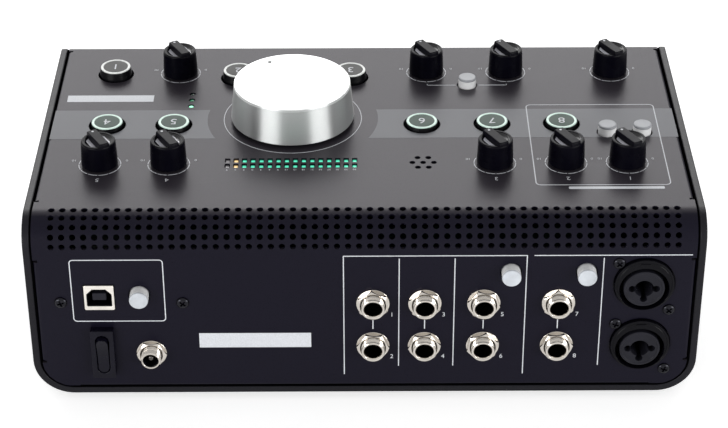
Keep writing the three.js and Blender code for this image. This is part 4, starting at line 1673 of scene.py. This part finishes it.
@dataclass
class JackSocket:
    """A 6.35 mm jack socket with a threaded bushing and a chamfered hexagonal nut."""

    proud: float = 5.0
    bushing: float = 4.72
    bore: float = 3.3
    mouth: float = 3.75
    nut: float = 11.5
    nut_height: float = 2.3
    slack: float = 0.15
    depth: float = 24.0

    def socket(self) -> bpy.types.Object:
        """The bushing, its thread and the plain bore.

        Returns:
            The bushing, about its bore.
        """
        r, p, bore, mouth = self.bushing, self.proud, self.bore, self.mouth
        rings = [(r, -1.9), *thread(r, 0.22, 0.4, p - 0.55, 0.62)]
        rings += [
            (r, p - 0.4), (r - 0.1, p - 0.14), (r - 0.34, p), (mouth + 0.12, p), (mouth, p - 0.12),
            (bore + 0.05, p - 0.75), (bore, p - 0.95), (bore, -20.5), (bore, -21.2), (4.2, -21.2),
            (4.2, -1.9),
        ]
        return smooth(turned(rings, 48, hollow=True), 28)

    def housing(self) -> bpy.types.Object:
        """The plastic body behind the panel, with its bore.

        Returns:
            The housing, about its bore.
        """
        body = slab((-7.5, -7.5, -1.8 - self.depth), (7.5, 7.5, -1.8))
        carved(body, turned([(4.15, -21.15), (4.15, 0)], 24))
        return smooth(eased(body, 0.4, 2, 50), 30)

    def hexagonal(self) -> bpy.types.Object:
        """The nut with its washer: its corners turned down on the outer face, and a raised collar.

        Returns:
            The nut, about its bore.
        """
        corner, height = self.nut / math.sqrt(3), self.nut_height
        inner = self.bushing + 0.23 + self.slack
        form = turned([
            (inner + 0.05, 0.5), (corner + 0.02, 0.5), (corner + 0.02, height - 0.62),
            (corner - 0.35, height - 0.36), (corner - 0.95, height - 0.08),
            (inner + 0.72, height - 0.05), (inner + 0.62, height), (inner + 0.2, height),
            (inner, height - 0.2), (inner, 0.6),
        ], 72, hollow=True)
        carved(form, hexagon(self.nut, -1, height + 1), operation="INTERSECT")
        eased(form, 0.08, 2, 30)
        edge = corner + 0.02
        washer = turned([
            (inner, 0), (edge - 0.1, 0), (edge, 0.1), (edge, 0.42), (edge - 0.08, 0.5),
            (inner, 0.5),
        ], 72, hollow=True)
        return smooth(joined(form, washer), 25)

    def build(self) -> None:
        """Sets the rear and front sockets with their nuts."""
        socket, housing, nut = self.socket(), self.housing(), self.hexagonal()
        for group, side in ((JACKS, Side.REAR), (FRONT_JACKS, Side.FRONT)):
            for name, (x, drop) in group.items():
                place = PLAN.stand(side, x, drop)
                bushing, box = copied(socket, place), copied(housing, place)
                jack, metal = [f"{name}_jack"], "plated_metal"
                hand_over(bushing, f"{name}_bushing", Finish.NICKEL, jack)
                hand_over(box, f"{name}_housing", Finish.SOCKET)
                stood_for = [f"{name}_nut"] if side is Side.REAR else []
                hexagonal = copied(nut, place @ spin_z(NUT_TURNS[name]))
                hand_over(hexagonal, f"{name}_hex", Finish.NICKEL, stood_for)
        put_away(socket, housing, nut)


@dataclass
class ComboSocket:
    """A combination socket: a round shell and an insert with a jack bore and three pin holes."""

    shell: float = 12.0
    proud: float = 1.5
    drop: float = 1.9
    insert: float = 8.25
    groove: float = 9.75
    centre: float = 3.6
    pin: float = 1.5
    pin_circle: float = 4.77
    floor: float = -10.5

    def housing(self) -> bpy.types.Object:
        """The shell with its groove and the box behind the panel.

        Returns:
            The housing, about the shell's axis.
        """
        p = self.proud
        shell = turned([
            (self.shell, -2.4), (self.shell, p - 0.55), (self.shell - 0.16, p - 0.16),
            (self.shell - 0.55, p), (self.shell - 0.9, p), (self.shell - 1.0, p - 0.12),
            (self.shell - 1.1, p - 0.12), (self.shell - 1.25, p),
        ], 96)
        g, low, place = self.groove, self.floor, shift(0, -self.drop, 0)
        carved(shell, moved(turned([(g, low), (g, p - 0.5), (g + 0.5, p + 0.4)], 72), place))
        box = slab((-12.9, -12.1, -25.8), (12.9, 12.1, -1.8))
        carved(box, moved(turned([(g, low), (g, 0)], 72), place))
        return joined(smooth(eased(shell, 0.12, 2, 50), 30), eased(box, 0.4))

    def core(self) -> bpy.types.Object:
        """The insert.

        Returns:
            The insert, in its place in the shell.
        """
        p, r = self.proud - 0.3, self.insert
        core = turned([
            (r, -25.0), (r, p - 0.5), (r - 0.15, p - 0.15), (r - 0.5, p), (r - 1.0, p),
            (r - 1.15, p - 0.25), (r - 1.6, p - 0.25),
        ], 72)
        bore = self.centre
        holes = [turned([(bore, -22), (bore, p - 0.9), (bore + 0.7, p + 0.5)], 48)]
        for angle in (180, 270, 360):
            x, y = (self.pin_circle * f(math.radians(angle)) for f in (math.cos, math.sin))
            holes.append(moved(turned([(self.pin, -22), (self.pin, p + 1)], 24), shift(x, y, 0)))
        for hole in holes:
            carved(core, hole)
        return smooth(eased(moved(core, shift(0, -self.drop, 0)), 0.1, 2, 50), 30)

    def latch(self) -> bpy.types.Object:
        """The release tab above the insert."""
        tab = slab((-2.1, 9.05, self.floor), (2.1, 10.35, self.proud + 0.35))
        return smooth(eased(tab, 0.25, 3), 30)

    def build(self) -> None:
        """Sets both sockets with their screws."""
        housing, core, latch = self.housing(), self.core(), self.latch()
        screw = PanScrew(2.45, 1.1).make()
        for count, (x, drop) in enumerate(COMBOS, 1):
            name, place = f"input_{count}", PLAN.stand(Side.REAR, x, drop)
            for part, master, finish, stood_for in (
                ("shell", housing, Finish.SOCKET, [name + "_socket"]),
                ("insert", core, Finish.INSERT, []), ("latch", latch, Finish.SOCKET, []),
            ):
                piece = copied(master, place)
                hand_over(piece, f"{name}_{part}", finish, stood_for)
            for part, dx, dy in (("upper", -10.4, 9.9), ("lower", 10.6, -12.4)):
                seat = PLAN.stand(Side.REAR, x + dx, drop - dy) @ spin_z(20 + 25 * count)
                piece = copied(screw, seat)
                hand_over(piece, f"{name}_{part}_screw", Finish.SCREW)
        put_away(housing, core, latch, screw)


@dataclass
class PanScrew:
    """A pan-head screw with a cross recess."""

    radius: float = 2.5
    height: float = 1.2

    def make(self) -> bpy.types.Object:
        """Turns the head and cuts the cross.

        Returns:
            The screw, upright.
        """
        r, h = self.radius, self.height
        head = turned([
            (r * 0.55, -1.4), (r * 0.55, 0), (r, 0), (r, h * 0.3), (r * 0.93, h * 0.62),
            (r * 0.75, h * 0.88), (r * 0.45, h),
        ], 36)
        half, reach, floor = r * 0.15, r * 0.56, -h * 0.2
        for x, y in ((reach, half), (half, reach)):
            carved(head, slab((-x, -y, floor), (x, y, h * 2)))
        return smooth(head, 35)

    def build(self) -> None:
        """Sets the two panel screws beside the USB socket."""
        screw = self.make()
        for name, x, drop, angle in (("left", -121.6, 36.9, 18.0), ("right", -72.8, 37.2, 52.0)):
            piece = copied(screw, PLAN.stand(Side.REAR, x, drop) @ spin_z(angle))
            hand_over(piece, f"panel_{name}_screw", Finish.SCREW)
        put_away(screw)


@dataclass
class UsbSocket:
    """The square USB socket: a folded shell round a contact tongue."""

    width: float = 12.1
    height: float = 11.7
    proud: float = 0.6
    open_x: float = 5.0
    open_y: float = 4.0
    cut: float = 2.3

    def build(self) -> None:
        """Makes the shell, the throat and the tongue."""
        place = PLAN.stand(Side.REAR, *USB)
        half_x, half_y, top = self.width / 2, self.height / 2, self.proud + 1
        shell = plate(-half_x, half_x, -half_y, half_y, -25.8, self.proud, 0.7)
        carved(shell, self.throat(self.open_x, self.open_y, top))
        smooth(eased(shell, 0.22, 3, 40), 30)
        hand_over(moved(shell, place), "usb_shell", Finish.TIN, ["usb_socket"])
        liner = self.throat(self.open_x - 0.03, self.open_y - 0.03, self.proud - 0.4)
        hollow = self.throat(self.open_x - 0.3, self.open_y - 0.3, top)
        carved(liner, moved(hollow, shift(0, 0, 0.5)))
        hand_over(moved(smooth(liner), place), "usb_throat", Finish.SOCKET)
        tongue = slab((-2.8, -1.65, self.proud - 13.9), (2.8, 1.65, self.proud - 0.9))
        smooth(eased(tongue, 0.3, 3), 30)
        hand_over(moved(tongue, place), "usb_tongue", Finish.INSERT)

    def throat(self, half_x: float, half_y: float, top: float) -> bpy.types.Object:
        """A block in the shape of the opening, its upper corners cut."""
        mouth = slab((-half_x, -half_y, self.proud - 14), (half_x, half_y, top))
        return rolled(mouth, self.cut, 1, lambda c, along: abs(along.z) > ALONG and c.y > 0)


@dataclass
class SupplySocket:
    """The supply socket's barrel, pin and nut."""

    barrel: float = 4.0
    bore: float = 3.15
    proud: float = 6.0

    def build(self) -> None:
        """Turns the barrel and sets it with its nut."""
        place = PLAN.stand(Side.REAR, *SUPPLY)
        p, r, b = self.proud, self.barrel, self.bore
        rings = [(5.5, -17.8), (5.5, -1.8), (r, -1.8), *thread(r, 0.2, 0.3, p - 0.8, 0.6)]
        rings += [(r, p - 0.35), (r - 0.3, p), (b + 0.12, p), (b, p - 0.15), (b, -3.5), (b, -3.6)]
        rings += [(b, -17.0), (4.5, -17.8)]
        barrel = moved(smooth(turned(rings, 48, hollow=True), 28), place)
        hand_over(barrel, "supply_barrel", Finish.NICKEL, ["supply_socket"])
        seat = b - 0.02
        pin = turned([(seat, -3.6), (seat, -3.4), (1.0, -3.4), (1.0, p - 1.9), (0.7, p - 1.7)], 24)
        # The pin takes a darkened plate: painted shade in the bore.
        hand_over(moved(smooth(pin), place), "supply_pin", Finish.BORE)
        liner = turned([
            (seat, -3.4), (seat, p - 0.5), (b - 0.2, p - 0.6), (b - 0.2, -3.4),
        ], 48, hollow=True)
        hand_over(moved(smooth(liner), place), "supply_liner", Finish.SOCKET)
        nut = JackSocket(nut=10.6, nut_height=2.0, bushing=4.07).hexagonal()
        moved(nut, place @ spin_z(30))
        hand_over(nut, "supply_hex", Finish.NICKEL, ["supply_nut"])


@dataclass
class PowerSwitch:
    """The power switch: eased copies of its bezel and rocker."""

    def build(self) -> None:
        """Dresses the bezel and the rocker."""
        bezel = smooth(eased(from_node("power_switch"), 0.35, 3, 50), 30)
        hand_over(bezel, "power_bezel", Finish.ROCKER, ["power_switch"])
        rocker = smooth(eased(from_node("power_rocker"), 0.2, 2, 50), 40)
        node = "power_rocker"
        hand_over(rocker, node + "_cap", Finish.ROCKER, [node], node + "_body")


@dataclass
class Feet:
    """Four rubber feet, each with a recess for a screw."""

    radius: float = 7.0
    inset_x: float = 24.0
    inset_y: float = 20.0

    def build(self) -> None:
        """Turns one foot and sets four."""
        foot = smooth(turned([
            (self.radius, 3.5), (self.radius - 0.15, 1.0), (self.radius - 0.5, 0.25),
            (self.radius - 1.0, 0.0), (2.9, 0.0), (2.6, 0.3), (2.6, 1.6), (1.0, 1.6), (0.9, 1.9),
        ], 48), 40)
        for end, y in (("rear", self.inset_y), ("front", PLAN.depth - self.inset_y)):
            for side, sign in (("left", -1), ("right", 1)):
                name = f"{end}_{side}_foot"
                place = shift(sign * (PLAN.width / 2 - self.inset_x), PLAN.rear_y + y, 0)
                hand_over(copied(foot, place), name + "_pad", Finish.RUBBER, [name])
        put_away(foot)


# Prints


def figure(text: str, height: float, low: float, thick: float) -> bpy.types.Object:
    """A plain number as a thin plate about the origin.

    Args:
        text: The number.
        height: The digits' height.
        low: The plate's lower face.
        thick: The plate's thickness.

    Returns:
        The new object.
    """
    clear()
    bpy.ops.object.text_add()
    obj = bpy.context.object
    obj.data.body = text
    obj.data.size = height * 1.35 * MM
    obj.data.align_x = "CENTER"
    obj.data.align_y = "CENTER"
    obj.data.extrude = thick / 2 * MM
    take(obj)
    bpy.ops.object.convert(target="MESH")
    obj = bpy.context.object
    return moved(settle(obj), shift(0, 0, low + thick / 2))


@dataclass
class Prints:
    """The screen-printed lines, rings, bands and numbers on both panels."""

    thick: float = 0.03
    line: float = 0.4
    band_ends: Point = (66.1, 90.1)
    band_break: float = 36.0
    button_gap: float = 7.9
    push_gap: float = 4.5
    dial: float = 8.5
    dial_line: float = 0.36
    volume_dial: float = 29.0
    link_y: float = 110.9
    rear_high: float = -15.1
    rear_low: float = -73.0
    divider_ends: Point = (-68.9, -16.55)

    def bar(
        self, x0: float, x1: float, y0: float, y1: float, radius: float = 0.0
    ) -> bpy.types.Object:
        """A printed bar, about the panel's own axes."""
        return plate(min(x0, x1), max(x0, x1), min(y0, y1), max(y0, y1), 0, self.thick, radius)

    def ring(
        self, x: float, y: float, radius: float, width: float, sides: int = 96
    ) -> bpy.types.Object:
        """A printed ring.

        Args:
            x: The middle's place across the panel.
            y: The middle's place along the panel.
            radius: The ring's middle radius.
            width: The width of its line.
            sides: Sides of the circle.

        Returns:
            The ring.
        """
        inner, outer = radius - width / 2, radius + width / 2
        ring = turned(
            [(outer, 0), (outer, self.thick), (inner, self.thick), (inner, 0)], sides, hollow=True
        )
        return moved(ring, shift(x, y, 0))

    def dashes(self, ring: bpy.types.Object, x: float, y: float) -> bpy.types.Object:
        """Breaks a printed ring with narrow gaps, one for each step of the dial.

        Args:
            ring: The ring.
            x: The middle's place across the panel.
            y: The middle's place along the panel.

        Returns:
            The ring.
        """
        gaps = [
            moved(slab((7, -0.24, -1), (10, 0.24, 1)), shift(x, y, 0) @ spin_z(angle))
            for angle in range(-240, 61, 30)
        ]
        return carved(ring, *gaps)

    def frame(self, x0: float, x1: float, y0: float, y1: float, radius: float) -> bpy.types.Object:
        """A printed frame with rounded corners.

        Args:
            x0: The left side.
            x1: The right side.
            y0: The lower side.
            y1: The upper side.
            radius: The corners' radius.

        Returns:
            The frame.
        """
        outer = plate(x0, x1, y0, y1, 0, self.thick, radius)
        w = self.line
        inner = plate(x0 + w, x1 - w, y0 + w, y1 - w, -1, 1, max(radius - w, 0.05))
        return carved(outer, inner)

    def upright(self, x: float, low: float, high: float) -> bpy.types.Object:
        """An upright line about a place."""
        return self.bar(x - self.line / 2, x + self.line / 2, low, high)

    def number(self, count: int, height: float, x: float, y: float) -> bpy.types.Object:
        """A plain number on the top, read from the user's side."""
        return moved(figure(str(count), height, 0, self.thick), shift(x, y, 0) @ spin_z(180))

    def band(self) -> bpy.types.Object:
        """The light band across the top, broken by an arc round the volume knob.

        Returns:
            The band.
        """
        half = PLAN.sheet_half - 0.3
        band = self.bar(-half, half, *self.band_ends)
        gaps = [(self.band_break, 128, VOLUME)]
        gaps += [(self.button_gap, 64, BUTTONS[node]) for node in LATCHED]
        pushes = ("phantom_push", "mono_input_push")
        gaps += [(self.push_gap, 48, TOP_PUSHES[node]) for node in pushes]
        for radius, sides, place in gaps:
            carved(band, moved(turned([(radius, -1), (radius, 1)], sides), shift(*place, 0)))
        return band

    def top_lines(self) -> list[bpy.types.Object]:
        """The white lines, rings and dots on the top.

        Returns:
            The prints, flat on the panel.
        """
        items = [
            self.dashes(self.ring(x, y, self.dial, self.dial_line), x, y) for x, y in KNOBS.values()
        ]
        items.append(self.ring(*VOLUME, self.volume_dial, 0.3, 160))
        items.append(self.frame(69.0, 123.6, 28.0, 93.7, 2.2))
        items.append(self.bar(82.1, 120.6, 25.0, 26.9, 0.6))
        link = TOP_PUSHES["phones_link_push"][0]
        left, right = KNOBS["phones_1_knob"][0], KNOBS["phones_2_knob"][0]
        y, gap, half, end = self.link_y, 4.9, 0.19, 112.2
        for x0, x1 in ((left, link - gap), (link + gap, right)):
            items.append(self.bar(x0, x1, y, y + self.line))
        items += [self.bar(x - half, x + half, y, end) for x in (left + half, right - half)]
        items.append(self.bar(-127.1, -90.1, 97.5, 103.1))
        return items

    def top_numbers(self) -> list[bpy.types.Object]:
        """Plain numbers on the top, read from the user's side.

        Returns:
            The numbers, flat on the panel.
        """
        items, y = [], METER.middle[1] - 5.4
        for x, low in KNOBS.values():
            items += [self.number(n, 1.5, x + dx, low + 3.2) for n, dx in ((10, -10.8), (0, 10.8))]
        for column in range(METER.columns):
            items.append(self.number(abs(column - 3) * 3, 1.1, METER.lens_x(column), y))
        counted = ("gain_1_knob", "gain_2_knob", "line_gain_knob", "trim_a_knob", "trim_b_knob")
        for number, (x, low) in enumerate((KNOBS[node] for node in counted), 1):
            items.append(self.number(number, 2.6, x, low - 12.2))
        return items

    def rear_lines(self) -> list[bpy.types.Object]:
        """The white frames and dividers on the rear, with y as minus the drop.

        Returns:
            The prints, flat on the panel.
        """
        high, low, line = self.rear_high, self.rear_low, self.line
        items = [
            self.frame(-117.1, -79.8, -46.3, -16.55, 1.6), self.bar(-8.6, 64.5, high - line, high),
            *[self.bar(x, x + line, low, high - line) for x in (-8.6, 64.5 - line)],
            *[self.upright(x, *self.divider_ends) for x in (13.7, 35.8)],
            self.bar(67.1, 129.7, high - line, high), self.upright(94.75, *self.divider_ends),
            self.bar(-66.9, -21.7, -59.3, -52.25),
        ]
        for name in ("monitor_b", "monitor_a", "two_track", "stereo"):
            x = JACKS[name + "_left"][0]
            high, low = (-JACKS[f"{name}_{side}"][1] for side in ("left", "right"))
            items.append(self.upright(x, (high + low) / 2 - 2.2, (high + low) / 2 + 2.2))
        return items

    def rear_numbers(self) -> list[bpy.types.Object]:
        """Plain numbers beside the sockets.

        Returns:
            The numbers, flat on the panel.
        """
        return [
            moved(figure(str(number), 2.1, 0, self.thick), shift(x + 7.6, -drop - 5.6, 0))
            for number, (x, drop) in enumerate(JACKS.values(), 1)
        ]

    def build(self) -> None:
        """Prints both panels."""
        top = PLAN.stand(Side.TOP, 0, 0, 0.01)
        rear = PLAN.stand(Side.REAR, 0, 0, 0.01)
        upper = PLAN.stand(Side.TOP, 0, 0, self.thick)
        hand_over(moved(self.band(), top), "top_band", Finish.BAND)
        for name, make, place, slot in (
            ("top_lines", self.top_lines, upper, "top_sheet"),
            ("top_numbers", self.top_numbers, upper, "top_sheet"),
            ("rear_lines", self.rear_lines, rear, "rear_sheet"),
            ("rear_numbers", self.rear_numbers, rear, "rear_sheet"),
        ):
            hand_over(moved(joined(*make()), place), name, Finish.PRINT)


# Studio


@dataclass
class Camera:
    """The camera, as fitted to the case's edges in the photograph."""

    lens: float = 108.56
    pitch: float = 32.326
    yaw: float = 0.103
    roll: float = 0.171
    place: tuple[float, float, float] = (-1.48, PLAN.rear_y - 723.43, PLAN.top_z + 462.18)

    def build(self) -> None:
        """Makes the camera and gives it to the scene."""
        p, y, r = (math.radians(a) for a in (self.pitch, self.yaw, self.roll))
        ahead = Vector((math.sin(y) * math.cos(p), math.cos(y) * math.cos(p), -math.sin(p)))
        right = Vector((math.cos(y), -math.sin(y), 0))
        down = ahead.cross(right)
        right, down = right * math.cos(
            r
        ) + down * math.sin(r), down * math.cos(r) - right * math.sin(r)
        clear()
        bpy.ops.object.camera_add()
        camera = bpy.context.object
        camera.name = "studio_camera"
        camera.data.lens = self.lens
        camera.data.sensor_width = 36
        axes = Matrix((right, -down, -ahead)).transposed().to_4x4()
        camera.matrix_world = Matrix.Translation(Vector(self.place) * MM) @ axes
        bpy.context.scene.camera = camera


@dataclass
class Studio:
    """A pale floor and soft lamps: a large one behind and above, and weak fill from the front."""

    floor: float = 6.0
    world: float = 0.42
    glow: float = 0.6

    def lamp(self, name: str, place: Sequence[float], size: Point, power: float) -> None:
        """Adds a soft lamp that faces the object.

        Args:
            name: The lamp's name.
            place: Its place in metres.
            size: Its width and height in metres.
            power: Its power in watts.
        """
        clear()
        bpy.ops.object.light_add(type="AREA", location=place)
        lamp = bpy.context.object
        lamp.name = name
        lamp.data.shape = "RECTANGLE"
        lamp.data.size, lamp.data.size_y = size
        lamp.data.energy = power
        lamp.rotation_mode = "QUATERNION"
        lamp.rotation_quaternion = (Vector(place) - Vector((0, 0, 0.06))).to_track_quat("Z", "Y")

    def backdrop(self) -> None:
        """The floor, white to the camera, with the object's shadow on it."""
        clear()
        bpy.ops.mesh.primitive_plane_add(size=self.floor)
        floor = bpy.context.object
        floor.name = "floor"
        tree = Tree("pale_floor")
        path = tree.add("LightPath")
        seen = tree.math("MAXIMUM", path.outputs["Is Camera Ray"], path.outputs["Is Glossy Ray"])
        seen = tree.math("MAXIMUM", seen, path.outputs["Is Transmission Ray"])
        tree.set(Base_Color=(0.8, 0.8, 0.8, 1), Roughness=0.9, Emission_Color=(1, 1, 1, 1))
        tree.set(Emission_Strength=tree.math("MULTIPLY", seen, self.glow))
        floor.data.materials.append(tree.material)

    def sky(self) -> None:
        """A plain grey world that shows white to the camera and in reflections."""
        world = bpy.data.worlds.new("studio_world")
        bpy.context.scene.world = world
        world.use_nodes = True
        nodes, links = world.node_tree.nodes, world.node_tree.links
        background = next(n for n in nodes if n.type == "BACKGROUND")
        background.inputs[0].default_value = (1, 1, 1, 1)
        path = nodes.new("ShaderNodeLightPath")
        seen = path.outputs["Is Camera Ray"]
        for ray in ("Is Glossy Ray", "Is Transmission Ray"):
            either = nodes.new("ShaderNodeMath")
            either.operation = "MAXIMUM"
            links.new(seen, either.inputs[0])
            links.new(path.outputs[ray], either.inputs[1])
            seen = either.outputs[0]
        strength = nodes.new("ShaderNodeMapRange")
        links.new(seen, strength.inputs[0])
        strength.inputs[3].default_value = self.world
        strength.inputs[4].default_value = 1.0
        links.new(strength.outputs[0], background.inputs[1])

    def build(self) -> None:
        """Sets up the floor, the world and the lamps."""
        self.backdrop()
        self.sky()
        self.lamp("back_light", (-0.12, 1.15, 0.8), (1.3, 0.7), 10)
        self.lamp("left_light", (-0.87, -0.97, 0.27), (0.8, 0.46), 7.6)
        self.lamp("right_light", (1.02, -0.8, 0.27), (0.9, 0.46), 8.6)
        bpy.context.scene.view_settings.view_transform = "Standard"


def main() -> None:
    """Builds and dresses every piece, then the studio."""
    logging.basicConfig(level=logging.INFO, format="%(name)s: %(message)s")
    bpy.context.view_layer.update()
    for builder in (
        OuterCover(), VentBend(), FoldedSheet(), RotaryKnob(), VolumeKnob(), RoundButton(),
        PushButton(), Lamps(),
        JackSocket(), ComboSocket(), PanScrew(), UsbSocket(), SupplySocket(), PowerSwitch(), Feet(),
        Prints(),
    ):
        builder.build()
    for node in ("control_board", "rear_board"):
        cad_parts[node].data.materials.clear()
        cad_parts[node].data.materials.append(Finish.BOARD.material)
    Camera().build()
    Studio().build()
    clear()


if __name__ == "__main__":
    main()
